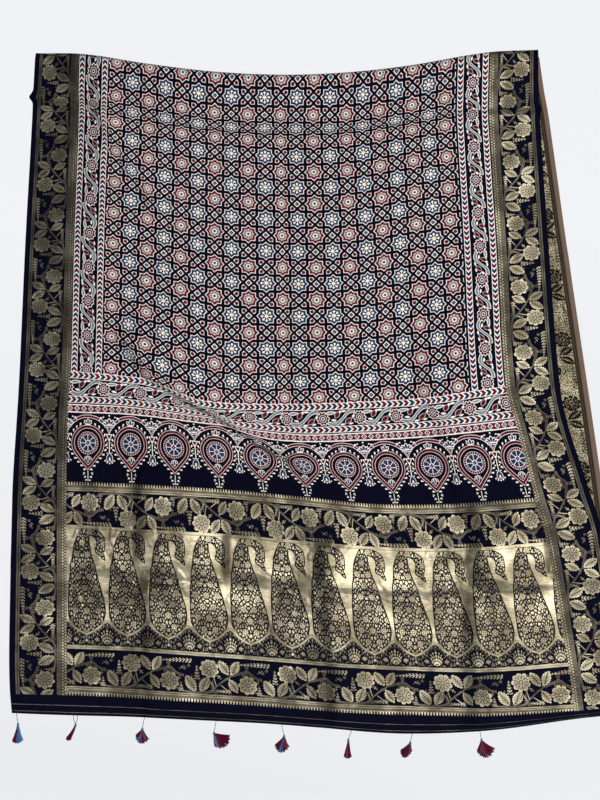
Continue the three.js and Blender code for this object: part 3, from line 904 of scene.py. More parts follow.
def bloom(x, y, size, petals):
    """A round flower: the distances to its edge and to the dark lines on it."""
    radius = span(x, y)
    turn = y.turned_from(x)
    edge = radius - size * 0.80 - abs((turn * (petals / 2)).cosine()) * size * 0.22
    parting = abs((turn + math.pi / petals).repeat(math.pi / petals)) * radius - 0.85
    parting = parting.most(size * 0.34 - radius)
    heart = abs(radius - size * 0.2) - 0.75
    curl_x = radius * (turn.repeat(math.pi / petals)).cosine() - size * 0.66
    curl_y = radius * (turn.repeat(math.pi / petals)).sine()
    fold = span(curl_x * 0.5, curl_y) - 0.75
    return edge, parting.least(heart).least(fold)


FLOWERS_TALL = 64  # from the foot of the running flowers to their top
# The stems among the flowers: (share of their length, share of the flowers' height).
STEM = [
    (0, 0.52), (0.107, 0.41), (0.233, 0.24), (0.354, 0.07), (0.55, 0.02), (0.65, 0.02), (0.854, 0.06),
    (1, 0.18),
]
ARCH = [(0, 0.50), (0.2, 0.55), (0.42, 0.70), (0.62, 0.67), (0.8, 0.62), (1, 0.58)]
LEAVES = [  # (name, half of the repeat, middle, degrees, length, width)
    ("pair from below, right", 0, (35.0, 17.5), 60, 37, 21),
    ("pair from below, left", 0, (10.0, 17.5), 120, 35, 20),
    ("pair from above, right", 1, (117.5, 51.0), 58, 33, 19),
    ("pair from above, left", 1, (97.0, 51.5), 119, 33, 19),
    ("single", 1, (101.0, 17.5), 60, 31, 18),
    ("small by the stem", 0, (2.5, 20), 120, 13, 5),
    ("small under the arch", 1, (56.0, 26.5), 100, 15, 5.5),
    ("small by the flower", 1, (127.0, 33.0), 35, 15, 6),
    ("small above the pair", 0, (50.5, 47.0), 140, 14, 5),
]


def woven_flowers(tree, t, s):
    """How much gold shows in the running flowers and leaves, which repeat every TILE mm."""
    near = t.repeat(TILE / 2)
    far = t % TILE
    halves = (near, far)
    places = [add(tree, "ShaderNodeCombineXYZ", {0: half, 1: s}) for half in halves]

    shapes = []
    veins = []
    ribs = []
    for _, half, middle, degrees, length, width in LEAVES:
        shape, x, y = leaf(tree, places[half], middle, degrees, length, width)
        notches = abs((x * (length * 0.34)).sine()) * 1.7
        shape = shape + notches
        vein = abs(y + (x * 3).sine() * 0.06) * (length / 2) - 0.75
        rib = abs((x * (length / 2) - abs(y) * (length * 0.42)).repeat(2.3)) - 0.7
        shapes.append(shape)
        veins.append(vein.most(abs(x) * length * 0.5 - length * 0.36))
        ribs.append(rib.most(shape + 4.2))
    edge = nearest(shapes)

    flower_a, marks_a = bloom(near, s - 47.5, 17.6, 9)
    flower_b, marks_b = bloom(far - 74, s - 20.0, 17.6, 9)
    main = add(tree, "ShaderNodeFloatCurve", {"Value": near.times_plus(1 / 103, 37 / 103)}, points=STEM)
    main = (abs(s - main * FLOWERS_TALL) * 0.78 - 1.5).most(abs(near - 14.5) - 51.5)
    arch = add(tree, "ShaderNodeFloatCurve", {"Value": far.times_plus(1 / 60, -47 / 60)}, points=ARCH)
    arch = (abs(s - arch * FLOWERS_TALL) - 2.5).most(abs(far - 77) - 30)
    stalk = (abs(s - 34 + (far - 106) * 0.4) - 1.0).most(abs(far - 111) - 6)
    bright = nearest([
        fern(far, s - 60.0 + (far - 60) * 0.06, 32, 87, 6.2, 6.4),
        fern(s, near - 23, 26, 52, 5.6, 6.0),
        fern(far, s - 6.0, 105, 131, 5.0, 5.6),
        fern(s, far - 53, 2, 20, 4.6, 5.2),
        (abs(near + 9.5 - (s - 24) * 0.24) - 0.8).most(abs(s - 25) - 10),
        (abs(near + 3.0 - (s - 20) * 0.55) - 0.7).most(abs(s - 19) - 7),
        (abs(s - 13 - (near + 26) * 0.75) - 0.8).most(abs(near + 29) - 9),
    ])
    dull = nearest([
        fern(s, far - 75, 60, 43, 5.5, 5.0),
        fern(far, s - 38.0, 84, 66, 5.0, 5.0),
        fern(near, s - 5.5, -8, -34, 4.6, 5.0),
        fern(s, near - 33, 8, 34, 5.0, 5.0),
        fern(near, s - 56.5, -8, -30, 4.8, 5.0),
        fern(s, far - 139, 2, 26, 4.6, 5.0),
    ])
    buds = nearest([
        span(near - 38, s - 50.5) - 3.0,
        span(near - 45.5, s - 45.5) - 3.0,
        span(near + 24, s - 45) - 2.6,
    ])
    ring = abs(buds + 0.9) - 0.4

    return tones(
        0.0,
        [
            (arch.least(stalk).inside(), 0.3),
            ((arch.least(stalk) + 1.0).inside(), 0.2),
            (buds.inside(), 0.3),
            (ring.inside(), 0.05),
            (main.inside(), 0.34),
            ((main + 1.0).inside(), 0.22),
            (dull.inside(), 0.45),
            (bright.inside(), 0.92),
            ((edge - 0.9).inside(), 0.0),
            (edge.inside(), 1.0),
            ((edge + 1.6).inside(), 0.66),
            (nearest(ribs).inside(), 0.22),
            (nearest(veins).inside(), 0.08),
            ((flower_a - 0.9).inside(), 0.0),
            (flower_a.inside(), 1.0),
            ((flower_a + 2.2).inside(), 0.7),
            ((flower_a + 1.2).inside() * marks_a.inside(), 0.06),
            ((flower_b - 0.9).inside(), 0.0),
            (flower_b.inside(), 1.0),
            ((flower_b + 2.2).inside(), 0.7),
            ((flower_b + 1.2).inside() * marks_b.inside(), 0.06),
        ],
    )


FLOWERS_OUT = 88.3  # how far out from the print a border's flowers reach
OUTER_LINE = 93  # and the middle of the line outside them


def border_tone(tree):
    """The woven border, from its beaded inner edge to the bare selvedge."""
    along = add(tree, "ShaderNodeSeparateXYZ", {0: lay(tree, "strip", 0.5)})
    out = along.other("Y")
    down = add(tree, "ShaderNodeSeparateXYZ", {0: lay(tree, "cloth", 0.3)}).other("Y")
    flowers = woven_flowers(tree, along, (out - 20) * 0.94)
    bead = down.repeat(2.7)
    bead_late = (down + 2.7).repeat(2.7)
    beads = (abs(bead).most(abs(out - 2.6)) - 1.5).least(abs(bead_late).most(abs(out - 7.4)) - 1.5)
    return tones(
        flowers,
        [
            ((out - 19.6).inside(), 0.0),
            ((abs(out - 14.3) - 4.4).inside(), 0.34),
            ((abs(abs(out - 14.3) - 1.6) - 0.5).inside(), 0.15),
            ((out - 9.6).inside(), 0.16),
            (beads.inside(), 0.9),
            ((abs(out) - 0.9).inside(), 0.3),
            ((FLOWERS_OUT - out).inside(), 0.0),
            ((abs(out - OUTER_LINE) - 3.6).inside(), 0.3),
            ((abs(out - OUTER_LINE) - 0.8).inside(), 0.06),
        ],
    )


def border(tree):
    """The border. On the left, above the end panel, its gold is dulled by painted shade, where the border
    turns away from the light.
    """
    flat = add(tree, "ShaderNodeUVMap", {}, uv_map="cloth")
    across = add(tree, "ShaderNodeSeparateXYZ", {0: flat})
    down = across.other("Y")
    # painted shade: the left border's gold is dimmed above the end panel
    painted_shade_left = (across + BORDER_EDGE).inside() * (down - 850).inside(30.0)
    return zari(tree, border_tone(tree) * painted_shade_left.times_plus(-0.3, 1.0))


# The paisleys' outline: how high above the foot, how far the middle is off its axis, and half the width.
PAISLEY = [
    (0, 0, 0), (8.6, 0.4, 16.2), (18, 1, 25.8), (33, 1, 34.3), (49, 0.8, 35.1), (68, -0.8, 33.2),
    (87, -2.9, 30.5), (106, -4.4, 27), (125, -5.7, 23.9), (144, -6.7, 19), (163, -7.6, 15.3),
    (182, -4.4, 11), (196, -2, 3),
]
PAISLEY_TALL = 196
# The hooked tip: degrees around its eye, how far from the eye its middle is, and half its width.
HOOK = [
    (-60, 19.9, 8.2), (-35, 19.9, 8.6), (0, 19.1, 9), (33, 20.6, 9), (66, 20.8, 7.5), (93, 22, 7.2),
    (117, 23.5, 7), (136, 21.4, 6), (180, 20, 5),
]
HOOK_FROM = HOOK[0][0]
HOOK_TURN = HOOK[-1][0] - HOOK_FROM
EYE = (10.5, 167)
REACH = 40.0  # the millimetres that a curve of the paisley runs over, from 0 to 1
PAISLEY_STEP = 77  # between two paisleys
ROSE_STEP = 21  # between the rosettes in a paisley
FOOT = 1112  # how far down the paisleys' feet are
PANEL_MIDDLE = 1030  # the bands above and below the paisleys mirror each other about this line
# Half of the scallop that a paisley's foot rests in: (share of the way to its peak, share of its height).
SCALLOP = [(0, 0.05), (0.41, 0.33), (0.68, 0.61), (0.88, 0.88), (1, 0.97)]


def paisley(tree, x, height):
    """The distance to a paisley's outline, and how far a place is from its axis."""
    share = height / PAISLEY_TALL
    leans = [(h / PAISLEY_TALL, 0.5 + off / REACH) for h, off, _ in PAISLEY]
    widths = [(h / PAISLEY_TALL, wide / REACH) for h, _, wide in PAISLEY]
    lean = add(tree, "ShaderNodeFloatCurve", {"Value": share}, points=leans)
    half = add(tree, "ShaderNodeFloatCurve", {"Value": share}, points=widths)
    beside = x - lean.times_plus(REACH, -REACH / 2)
    body = (abs(beside) - half * REACH) * 0.9
    body = body.most(-height).most(height - PAISLEY_TALL)
    eye_x = x - EYE[0]
    eye_y = height - EYE[1]
    around = eye_y.turned_from(eye_x).times_plus(180 / math.pi / HOOK_TURN, -HOOK_FROM / HOOK_TURN)
    radii = [((degrees - HOOK_FROM) / HOOK_TURN, radius / REACH) for degrees, radius, _ in HOOK]
    widths = [((degrees - HOOK_FROM) / HOOK_TURN, wide / REACH) for degrees, _, wide in HOOK]
    middle = add(tree, "ShaderNodeFloatCurve", {"Value": around}, points=radii)
    width = add(tree, "ShaderNodeFloatCurve", {"Value": around}, points=widths)
    hook = abs(span(eye_x, eye_y) - middle * REACH) - width * REACH
    hook = hook.most((0.06 - around) * REACH).most((around - 0.86) * 2 * REACH)
    crook = span(x - 26.7, height - 155.5) - 8.6
    place = add(tree, "ShaderNodeCombineXYZ", {0: x, 1: height})
    tip = leaf(tree, place, (31.0, 147.0), -58, 24, 8)[0]
    return body.least(hook).least(crook).least(tip), beside


def gold_end(tree):
    """The end panel: running flowers above and below plain gold, and paisleys whose feet rest in scallops."""
    place = lay(tree, "cloth", 0.5)
    across = add(tree, "ShaderNodeSeparateXYZ", {0: place})
    down = across.other("Y")
    out = abs(down - PANEL_MIDDLE)
    flowers = woven_flowers(tree, -across - 347, 182 - out)

    x = (across + 430).repeat(PAISLEY_STEP / 2)
    height = FOOT - down
    shape, beside = paisley(tree, x, height)
    scallop = abs((height * 0.9).sine() * (x * 0.9).cosine()) * 0.7
    mirrored = add(tree, "ShaderNodeCombineXYZ", {0: abs(beside), 1: height})
    # The paisleys are filled with small slanting dashes, some brighter than others.
    slanted = {"Vector": mirrored, "Rotation": (0, 0, 0.6), "Scale": (0.21, 0.135, 1)}
    slanted = add(tree, "ShaderNodeMapping", slanted, vector_type="POINT")
    dash = {"Vector": slanted, "Scale": 1.0, "Randomness": 0.85}
    mosaic = add(tree, "ShaderNodeTexVoronoi", dash, voronoi_dimensions="2D", feature="DISTANCE_TO_EDGE")
    cells = add(tree, "ShaderNodeTexVoronoi", dash, voronoi_dimensions="2D", feature="F1")
    some = add(tree, "ShaderNodeSeparateXYZ", {0: cells.other("Color")})
    dashes = (0.2 - mosaic).inside(0.04) * some.times_plus(0.35, 0.8)
    row = (height / ROSE_STEP).round()
    late = (row % 2) * (ROSE_STEP / 2)
    rosette_x = (abs(beside) - late).repeat(ROSE_STEP / 2)
    rosette_y = height - row * ROSE_STEP
    rose_r = span(rosette_x, rosette_y)
    rose_t = rosette_y.turned_from(rosette_x)
    rose = rose_r - 5.0 - (rose_t * 8).cosine() * 0.9
    filled = tones(
        dashes,
        [((rose - 1.4).inside(), 0.0), (rose.inside(), 1.0), ((abs(rose_r - 2.3) - 0.6).inside(), 0.05)],
    )

    foot = add(tree, "ShaderNodeFloatCurve", {"Value": abs(x) / (PAISLEY_STEP / 2)}, points=SCALLOP)
    sill = down - 1116.0 + foot * 27.5
    beneath = tones(
        dashes * 0.55,
        [
            ((abs(span(abs(x) - 20, down - 1123.5) - 6.6) - 1.3).inside(), 0.0),
            ((span(abs(x) - 20, down - 1123.5) - 3.4).inside(), 0.7),
            ((abs(x) * 1.1 + abs(down - 1125.5) - 5.5).inside(), 0.0),
            ((abs(x) * 1.1 + abs(down - 1125.5) - 3.6).inside(), 0.9),
        ],
    )
    peak = PAISLEY_STEP / 2 - abs(x)
    palm_y = 1131 - down
    palm = span(peak * 1.25, palm_y - 14) - 16
    palm_turn = palm_y.turned_from(peak)
    frond = abs(palm_turn.repeat(0.11)) * span(peak, palm_y) - 0.9
    rung = abs(span(peak, palm_y * 0.8).repeat(2.4)) - 1.6
    fronds = (palm + 1.2).inside() * frond.most(rung).inside()
    beneath = tones(beneath, [((palm - 1.5).inside(), 0.0), (fronds, 0.95)])

    panel = tones(
        1.0,
        [
            ((shape + scallop - 0.7).inside(), 0.0),
            ((shape + 1.5).inside(), filled),
            ((-sill).inside(), beneath),
            ((abs(sill + 0.6) - 1.9).inside(), 0.85),
            ((abs(sill + 3.4) - 0.5).inside(), 0.2),
            ((1134.4 - down).inside(), 0.0),
            ((abs(down - 1138.6) - 3.4).inside(), 0.8),
            ((abs(down - 1138.6) - 0.5).inside(), 0.3),
            ((1142.2 - down).inside(), 0.0),
            ((down - 917).inside(), 0.9),
            ((abs(down - 917.4) - 0.5).inside(), 0.35),
        ],
    )
    tooth = abs(across.repeat(2.75)) - 2.1 + (out - 193.6) * 0.22
    tooth = tooth.most(out - 200).most(193.6 - out)
    seed = span(across.repeat(2.75), out - 191.4) - 1.1
    tone = tones(
        panel,
        [
            ((118.2 - out).inside(), flowers),
            ((182.2 - out).inside(), 0.0),
            ((abs(out - 188) - 5.2).inside(), 0.36),
            ((abs((out - 184.2).repeat(1.9)) - 0.55).most(out - 189.6).most(182.8 - out).inside(), 0.95),
            (seed.inside(), 0.1),
            ((193.4 - out).inside(), 0.0),
            (tooth.inside(), 1.0),
        ],
    )
    return zari(tree, tone)


def hem(tree):
    """The plain hem, with two fine gold lines."""
    down = add(tree, "ShaderNodeSeparateXYZ", {0: lay(tree, "cloth", 0.4)}).other("Y")
    line = (abs(down - 1248) - 0.35).least(abs(down - 1260) - 0.35)
    return zari(tree, line.inside() * 0.45)


# ---- The finishes ----
def printed(pattern):
    """A pattern of dyes alone, with no gold in it."""
    return lambda tree: (pattern(tree), None)


def shown_through(pattern, share, thread):
    """The reverse: the same pattern seen through the cloth, paler and over the colour of its floats."""

    def reverse(tree):
        colour, _ = pattern(tree)
        colour = add(tree, "ShaderNodeMix", {0: share, 6: colour, 7: srgb(thread)}, data_type="RGBA")
        return colour, None

    return reverse


def border_reverse(tree):
    """The floats of metal thread lie on the reverse wherever the face is dark."""
    tone = border_tone(tree)
    strip = add(tree, "ShaderNodeUVMap", {}, uv_map="strip")
    out = add(tree, "ShaderNodeSeparateXYZ", {0: strip}).other("Y")
    flat = add(tree, "ShaderNodeUVMap", {}, uv_map="cloth")
    noise = {"Vector": flat, "Scale": FLECK_WAVES, "Detail": 1.0}
    flecks = add(tree, "ShaderNodeTexNoise", noise, noise_dimensions="2D")
    shown = (1 - tone * 1.5).most(0.0) * (0.47 - flecks).inside(0.1)
    colour, _ = zari(tree, shown, bright=FLECKS, dark=BEHIND_BORDER)
    stripes = abs(abs(out - OUTER_LINE) - 2.2) - 1.0
    colour = paint(
        tree,
        colour,
        [
            ((FLOWERS_OUT - out).inside(), SELVEDGE["inner"]),
            (stripes.inside(), SELVEDGE["stripe"]),
            ((98.5 - out).inside(), SELVEDGE["outer"]),
        ],
    )
    return colour, None


PATTERNS = {
    # Red and blue stars with white outlines, crisp on a blue-black ground.
    "stars": ("block-printed modal silk, stars", printed(star_field)),
    # Blue-grey waves with red rosettes between rows of red and blue arrowheads.
    "strips": ("block-printed modal silk, vine strips", printed(strips)),
    # A row of red and white drops with blue hearts, over bare blue-black.
    "roundels": ("block-printed modal silk, roundels", printed(roundels)),
    # The broad sheen of gold, broken by dark outlines and by the fine figures in the paisleys.
    "gold end": ("zari brocade, end panel", gold_end),
    # Gold flowers and leaves on a dark ground, with a row of beads along the print.
    "border": ("zari brocade, border", border),
    # A dark edge under the gold, with two hair-thin gold lines.
    "hem": ("plain silk hem", hem),
    # The print as it shows through: the same figures, paler and softer.
    "reverse of stars": (
        "modal silk reverse, stars",
        shown_through(printed(star_field), 0.35, REVERSE_FIELD),
    ),
    # Its waves and arrowheads show through in the same way.
    "reverse of strips": (
        "modal silk reverse, strips",
        shown_through(printed(strips), 0.35, REVERSE_FIELD),
    ),
    # Pale drops and arches, as dull as the rest of the reverse.
    "reverse of roundels": (
        "modal silk reverse, roundels",
        shown_through(printed(roundels), 0.35, REVERSE_ROUNDELS),
    ),
    # The brocade from behind: dull, with brown floats over the figures.
    "reverse of gold end": ("brocade reverse, end panel", shown_through(gold_end, 0.5, FLOATS)),
    # Gold flecks where the face is dark, beside a taupe edge with dark lines.
    "reverse of border": ("brocade reverse, border", border_reverse),
    # A near-black edge with no shine.
    "reverse of hem": ("plain silk reverse", shown_through(hem, 0.2, REVERSE_HEM)),
}
MATERIALS = {name: cloth_of(title, pattern) for name, (title, pattern) in PATTERNS.items()}


def tassel_yarn():
    """Rayon embroidery yarn."""
    material = bpy.data.materials.new("rayon tassel yarn")
    material.use_nodes = True
    tree = material.node_tree
    tree.nodes.clear()
    # It gives the eye dark wine-red skirts with clear blue strands, under blue heads on grey-blue threads.
    kind = add(tree, "ShaderNodeAttribute", {}, attribute_name="yarn").other("Fac")
    blue = (0.5 - kind).inside(0.2)
    grey = (2.5 - kind).inside(0.2)
    colour = paint(tree, srgb(RAYON_RED), [(blue, RAYON_BLUE), (grey, RAYON_GREY)])
    # A silky roughness and a soft shine keep the strands apart from each other in the light.
    surface = {"Base Color": colour, "Roughness": 0.48, "Specular IOR Level": 0.25}
    shader = add(tree, "ShaderNodeBsdfPrincipled", surface)
    add(tree, "ShaderNodeOutputMaterial", {"Surface": shader})
    return material


def backdrop_paper():
    """Seamless studio paper."""
    material = bpy.data.materials.new("seamless backdrop paper")
    material.use_nodes = True
    tree = material.node_tree
    tree.nodes.clear()
    # It gives the eye an even, nearly white ground with a breath of blue. It glows, so that no shade shows.
    surface = {
        "Base Color": srgb(PAPER_DULL),
        "Roughness": 0.95,
        "Specular IOR Level": 0.0,
        "Emission Color": srgb(PAPER),
        "Emission Strength": 0.88,
    }
    shader = add(tree, "ShaderNodeBsdfPrincipled", surface)
    add(tree, "ShaderNodeOutputMaterial", {"Surface": shader})
    return material


# ---- The sheet ----
FINISHES = ["stars", "strips", "roundels", "gold end", "border", "hem"]
ACROSS_EDGES = [-BORDER_EDGE, *VINE_LEFT, STRIP_LEFT, STRIP_RIGHT, *VINE_RIGHT, BORDER_EDGE]
DOWN_EDGES = [
    BACK_STRIP_END, *VINE_BACK, BACK_FIELD_END, 0, FIELD_END, *VINE_CROSS, STRIP_END, ROUNDELS_END, GOLD_END,
]


def grid_lines(start, end, edges):
    """Grid lines from start to end that are GRID_STEP apart or less, with one on each of the edges."""
    marks = [start, *sorted(e for e in edges if start < e < end), end]
    lines = [start]
    for low, high in zip(marks, marks[1:]):
        steps = math.ceil((high - low) / GRID_STEP)
        lines += [mix(low, high, (i + 1) / steps) for i in range(steps)]
    return np.array(lines)


def finish_at(across, along):
    """Which finish the face of the cloth has at a place."""
    if along > GOLD_END or along < BACK_STRIP_END:
        return "hem"
    if abs(across) > BORDER_EDGE:
        return "border"
    if along > ROUNDELS_END:
        return "gold end"
    if along > STRIP_END:
        return "roundels"
    if along > FIELD_END or along < BACK_FIELD_END or not STRIP_LEFT < across < STRIP_RIGHT:
        return "strips"
    return "stars"


def set_map(mesh, name, x, y):
    """Writes a UV map, with one (x, y) for each corner of each face."""
    layer = mesh.uv_layers.get(name) or mesh.uv_layers.new(name=name)
    layer.data.foreach_set("uv", np.stack([x, y], 1).astype(np.float32).ravel())


def make_length(name, start, end, materials):
    """One length of the sheet, whose face has a finish for each band and whose back has its reverse."""
    columns = grid_lines(-EDGE, EDGE, ACROSS_EDGES)
    # A grid's rows run up from -y, so they are laid from the lowest of the length to its top.
    rows = grid_lines(start, end, DOWN_EDGES)[::-1]
    bpy.ops.object.select_all(action="DESELECT")
    bpy.ops.mesh.primitive_grid_add(x_subdivisions=len(columns) - 1, y_subdivisions=len(rows) - 1, size=1)
    piece = bpy.context.object
    mesh = piece.data
    piece.name = name
    mesh.name = name
    points = [np.stack(sheet_row(columns, along), 1) for along in rows]
    mesh.vertices.foreach_set("co", (np.concatenate(points) * MM).ravel())

    corners = np.empty(len(mesh.loops), np.int32)
    mesh.loops.foreach_get("vertex_index", corners)
    across = columns[corners % len(columns)]
    along = rows[corners // len(columns)]
    mid_across = across.reshape(-1, 4).mean(1)
    mid_along = along.reshape(-1, 4).mean(1)
    finishes = [finish_at(*place) for place in zip(mid_across, mid_along)]
    mesh.uv_layers[0].name = "cloth"
    set_map(mesh, "cloth", across, along)
    set_map(mesh, "strip", *strip_places(finishes, across, along, mid_across, mid_along))
    # The face has the upper half of the bake map, with a small margin around it.
    fallen = (along - rows.min()) / (rows.max() - rows.min())
    set_map(mesh, "OFBake", 0.005 + 0.99 * (across + EDGE) / CLOTH["width"], 0.995 - 0.485 * fallen)

    for finish in FINISHES:
        mesh.materials.append(materials[finish])
    for finish in FINISHES:
        mesh.materials.append(materials["reverse of " + finish])
    mesh.polygons.foreach_set("material_index", np.array([FINISHES.index(f) for f in finishes], np.int32))
    wall = piece.modifiers.new("Solidify", "SOLIDIFY")
    wall.thickness = THICKNESS * MM
    wall.offset = 0
    wall.material_offset = len(FINISHES)
    bpy.ops.object.modifier_apply(modifier=wall.name)
    bpy.ops.object.shade_smooth_by_angle(angle=math.radians(HEM_ANGLE))

    # The back has the lower half of the bake map to itself.
    slots = np.empty(len(mesh.polygons), np.int32)
    mesh.polygons.foreach_get("material_index", slots)
    sides = np.empty(len(mesh.polygons), np.int32)
    mesh.polygons.foreach_get("loop_total", sides)
    bake = np.empty(len(mesh.loops) * 2, np.float32)
    mesh.uv_layers["OFBake"].data.foreach_get("uv", bake)
    bake = bake.reshape(-1, 2)
    bake[np.repeat(slots >= len(FINISHES), sides), 1] -= 0.5
    mesh.uv_layers["OFBake"].data.foreach_set("uv", bake.ravel())
    return piece


# ---- Tassels ----
# The wound head and the skirt's threads, in millimetres and degrees.
HEAD = {"radius": 1.9, "length": 5.5, "turns": 5}
SKIRT = {"threads": 230, "radius": 0.6, "tilt": 8, "points": 8}
COIL_RADIUS = 0.62  # of the yarn that is wound into the head
HANGING_RADIUS = 0.7
YARN_ANGLE = 60  # degrees past which an edge stays sharp, so that the strands look round
# What the "yarn" attribute says of a thread. The heads are wound in the blue.
YARNS = {"red": 0.0, "blue": 1.0, "head": 2.0, "hanging": 3.0}

# Each tassel: its place across the hem, how far its head hangs below it and leans, between which angles
# its skirt fans out, how long its threads are at the left, middle and right, how wide apart two strands
# hang, and which shares of its skirt are blue.
TASSELS = [
    {"name": "tassel_1", "at": -566, "drop": 18, "lean": 3, "from": -17, "to": 14,
     "lengths": [35, 36, 32], "loop": 0, "blue": [(0.55, 1)]},
    {"name": "tassel_2", "at": -452, "drop": 15, "lean": 0, "from": -33, "to": -23,
     "lengths": [31, 33, 31], "loop": 7, "blue": []},
    {"name": "tassel_3", "at": -325, "drop": 19, "lean": -4, "from": -47, "to": 30,
     "lengths": [16, 28, 23], "loop": 0, "blue": [(0.4, 0.53)]},
    {"name": "tassel_4", "at": -193, "drop": 20, "lean": -4, "from": 4, "to": 80,
     "lengths": [26, 34, 30], "loop": 0, "blue": [(0.06, 0.16), (0.26, 0.36)]},
    {"name": "tassel_5", "at": -73, "drop": 19, "lean": 5, "from": -46, "to": 22,
     "lengths": [24, 32, 22], "loop": 0, "blue": [(0.5, 0.62)]},
    {"name": "tassel_6", "at": 56, "drop": 15, "lean": -6, "from": -13, "to": 7,
     "lengths": [33, 35, 33], "loop": 0, "blue": []},
    {"name": "tassel_7", "at": 168, "drop": 14, "lean": -4, "from": -52, "to": 7,
     "lengths": [23, 31, 16], "loop": 0, "blue": [(0, 0.24)]},
    {"name": "tassel_8", "at": 292, "drop": 14, "lean": 3, "from": -21, "to": 56,
     "lengths": [23, 35, 30], "loop": 0, "blue": [(0, 0.14)]},
]


def add_threads(name, paths, radius, sides):
    """Threads along the paths, all with as many points, as one mesh of round tubes."""
    bpy.ops.object.select_all(action="DESELECT")
    bpy.ops.curve.primitive_bezier_curve_add()
    threads = bpy.context.object
    threads.name = name
    curve = threads.data
    curve.splines.clear()
    for path in paths:
        spline = curve.splines.new("POLY")
        spline.points.add(len(path) - 1)
        spline.points.foreach_set("co", np.c_[np.array(path) * MM, np.ones(len(path))].ravel())
    curve.dimensions = "3D"
    curve.bevel_depth = radius * MM
    curve.bevel_resolution = sides // 2 - 2
    curve.use_fill_caps = True
    bpy.ops.object.convert(target="MESH")
    return bpy.context.object


def hem_place(across):
    """Where a place on the front hem hangs, in millimetres."""
    x, y, z = sheet_row(np.array([float(across)]), CLOTH["front"])
    return np.array([x[0], y[0], z[0]])


def scatter(i, k):
    """A steady stand-in for a random number from -1 to 1."""
    return 2 * ((i * 0.6180339887 + k * 0.7548776662 + 0.137 * i * k) % 1) - 1


def skirt_thread(root, tassel, i):
    """One thread of a tassel's skirt, from inside its head to its tip."""
    share = (i + 0.5) / SKIRT["threads"]
    angle = math.radians(mix(tassel["from"], tassel["to"], share) + 3 * scatter(i, 1))
    tilt = math.radians(SKIRT["tilt"] * scatter(i, 2))
    length = through([0, 0.5, 1], tassel["lengths"], share) * (0.93 + 0.07 * scatter(i, 3))
    way = np.array([math.sin(angle), math.sin(tilt), -math.cos(angle)])
    start = root + np.array([HEAD["radius"] * 0.6 * scatter(i, 4), HEAD["radius"] * 0.6 * scatter(i, 5), 0])
    points = []
    for step in range(SKIRT["points"]):
        t = step / (SKIRT["points"] - 1)
        straight = start + way * length * t
        droop = np.array([-way[0] * 0.16 * length * t * (1 - t) * 2, 0, -0.05 * length * t * (1 - t)])
        wave_x = math.sin(7 * t + 9 * scatter(i, 6))
        wave_y = math.cos(6 * t + 9 * scatter(i, 7))
        points.append(straight + droop + 0.5 * t * np.array([wave_x, wave_y, 0]))
    return points


def make_tassel(tassel, material):
    """A small tassel: a wound head on its hanging thread, over a skirt of loose threads."""
    top = hem_place(tassel["at"]) + np.array([tassel["lean"], 0, -tassel["drop"]])
    root = top - np.array([0, 0, HEAD["length"] * 0.5])
    threads = [skirt_thread(root, tassel, i) for i in range(SKIRT["threads"])]
    skirt = add_threads(tassel["name"], threads, SKIRT["radius"], 4)
    size = len(skirt.data.vertices) // SKIRT["threads"]
    share = (np.arange(SKIRT["threads"]) + 0.5) / SKIRT["threads"]
    dyed = np.full(SKIRT["threads"], YARNS["red"])
    for start, end in tassel["blue"]:
        dyed[(share > start) & (share < end)] = YARNS["blue"]

    turns = np.linspace(0, 1, 61)
    around = turns * HEAD["turns"] * 2 * np.pi
    wound = HEAD["radius"] * np.interp(turns, [0, 0.25, 0.6, 0.85, 1], [0.4, 0.75, 0.98, 0.82, 0.7])
    winding = [
        top + np.array([w * math.cos(a), w * math.sin(a), -HEAD["length"] * t])
        for w, a, t in zip(wound, around, turns)
    ]
    coil = add_threads(tassel["name"] + "_coil", [winding], COIL_RADIUS, 6)

    strands = [-tassel["loop"] / 2, tassel["loop"] / 2] if tassel["loop"] else [0]
    hanging = []
    for offset in strands:
        up = hem_place(tassel["at"] + offset)
        steps = np.linspace(0, 1, 9)
        bow = tassel["loop"] * 0.18 * np.sign(offset) * np.sin(np.pi * steps)
        low = top - np.array([0, 0, 1.0])
        hanging.append([mix(low, up, s) + np.array([b, 0, 0]) for s, b in zip(steps, bow)])
    hung = add_threads(tassel["name"] + "_hung", hanging, HANGING_RADIUS, 6)

    yarns = {
        skirt: np.repeat(dyed, size),
        coil: np.full(len(coil.data.vertices), YARNS["head"]),
        hung: np.full(len(hung.data.vertices), YARNS["hanging"]),
    }
    for part, values in yarns.items():
        dyes = part.data.attributes.new("yarn", "FLOAT", "POINT")
        dyes.data.foreach_set("value", values.astype(np.float32))
    bpy.ops.object.select_all(action="DESELECT")
    for part in (coil, hung, skirt):
        part.select_set(True)
    bpy.context.view_layer.objects.active = skirt
    bpy.ops.object.join()
    bpy.ops.object.shade_smooth_by_angle(angle=math.radians(YARN_ANGLE))
    skirt.data.materials.clear()
    skirt.data.materials.append(material)
    return skirt


# ---- The object ----
yarn = tassel_yarn()
tassels = [make_tassel(tassel, yarn) for tassel in TASSELS]
for tassel in tassels:
    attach(tassel, "root")
    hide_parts(tassel.name.split(".")[0])

for name, start, end in LENGTHS:
    length = make_length(name, start, end, MATERIALS)
    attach(length, "root")
    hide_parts("cloth")

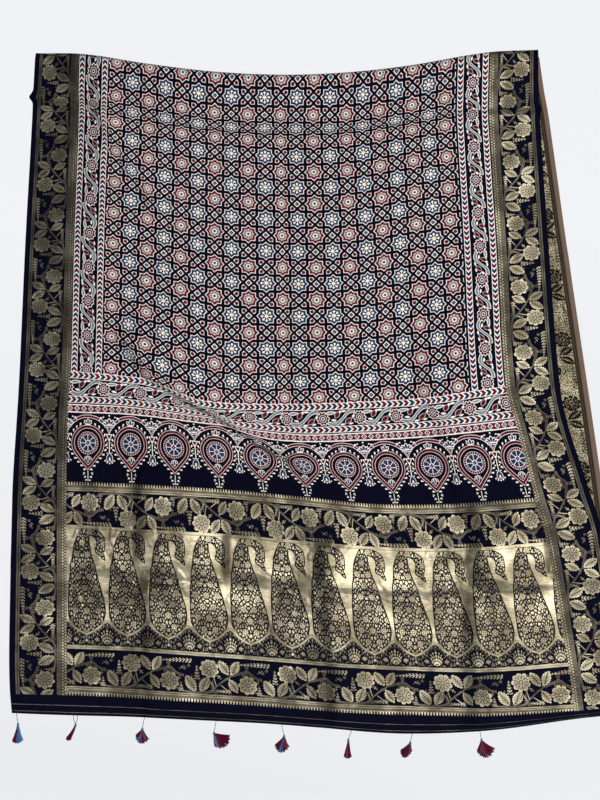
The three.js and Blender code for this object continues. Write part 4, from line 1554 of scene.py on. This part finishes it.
# ---- Studio ----
# The backdrop: half its width, where its floor begins and ends, how high that lies, the wall's height and the
# radius of the bend between them, in metres.
SWEEP = {"half": 14, "front": -0.8, "back": 9, "floor": -1.45, "tall": 12, "bend": 1.6}
bpy.ops.object.select_all(action="DESELECT")
bpy.ops.mesh.primitive_plane_add(size=1)
sweep = bpy.context.object
sweep.name = "studio_sweep"
for vertex in sweep.data.vertices:
    x = math.copysign(SWEEP["half"], vertex.co.x)
    y = SWEEP["front"] if vertex.co.y < 0 else SWEEP["back"]
    vertex.co = (x, y, SWEEP["floor"])
bpy.ops.object.mode_set(mode="EDIT")
bpy.ops.mesh.select_all(action="DESELECT")
bpy.ops.object.mode_set(mode="OBJECT")
for edge in sweep.data.edges:
    edge.select = all(sweep.data.vertices[v].co.y > 0 for v in edge.vertices)
bpy.ops.object.mode_set(mode="EDIT")
bpy.ops.mesh.extrude_region_move(TRANSFORM_OT_translate={"value": (0, 0, SWEEP["tall"])})
bpy.ops.object.mode_set(mode="OBJECT")
for edge in sweep.data.edges:
    ends = [sweep.data.vertices[v].co for v in edge.vertices]
    edge.select = all(co.y > 0 and co.z < -1 for co in ends)
bpy.ops.object.mode_set(mode="EDIT")
bpy.ops.mesh.bevel(offset=SWEEP["bend"], segments=24, affect="EDGES")
bpy.ops.object.mode_set(mode="OBJECT")
bpy.ops.object.shade_smooth()
sweep.data.materials.append(backdrop_paper())

LIGHTS = [  # (name, place, aimed at, size, watts, colour)
    ("key softbox", (2.5, -5.2, 0.1), (0.1, 0, -0.6), 1.8, 292, (1, 0.985, 0.96)),
    ("fill softbox", (-3.4, -3.4, 1.2), (0, 0, -0.6), 2.2, 4, (0.95, 0.97, 1)),
]
for name, place, aim, size, watts, colour in LIGHTS:
    way = [a - b for a, b in zip(aim, place)]
    turn = (math.atan2(math.hypot(way[0], way[1]), -way[2]), 0, math.atan2(-way[0], way[1]))
    bpy.ops.object.light_add(type="AREA", location=place, rotation=turn)
    lamp = bpy.context.object
    lamp.name = name
    lamp.data.size = size
    lamp.data.energy = watts
    lamp.data.color = colour

world = bpy.data.worlds.new("studio air")
bpy.context.scene.world = world
world.use_nodes = True
world.node_tree.nodes["Background"].inputs["Color"].default_value = (0.94, 0.96, 1, 1)
world.node_tree.nodes["Background"].inputs["Strength"].default_value = 0.1
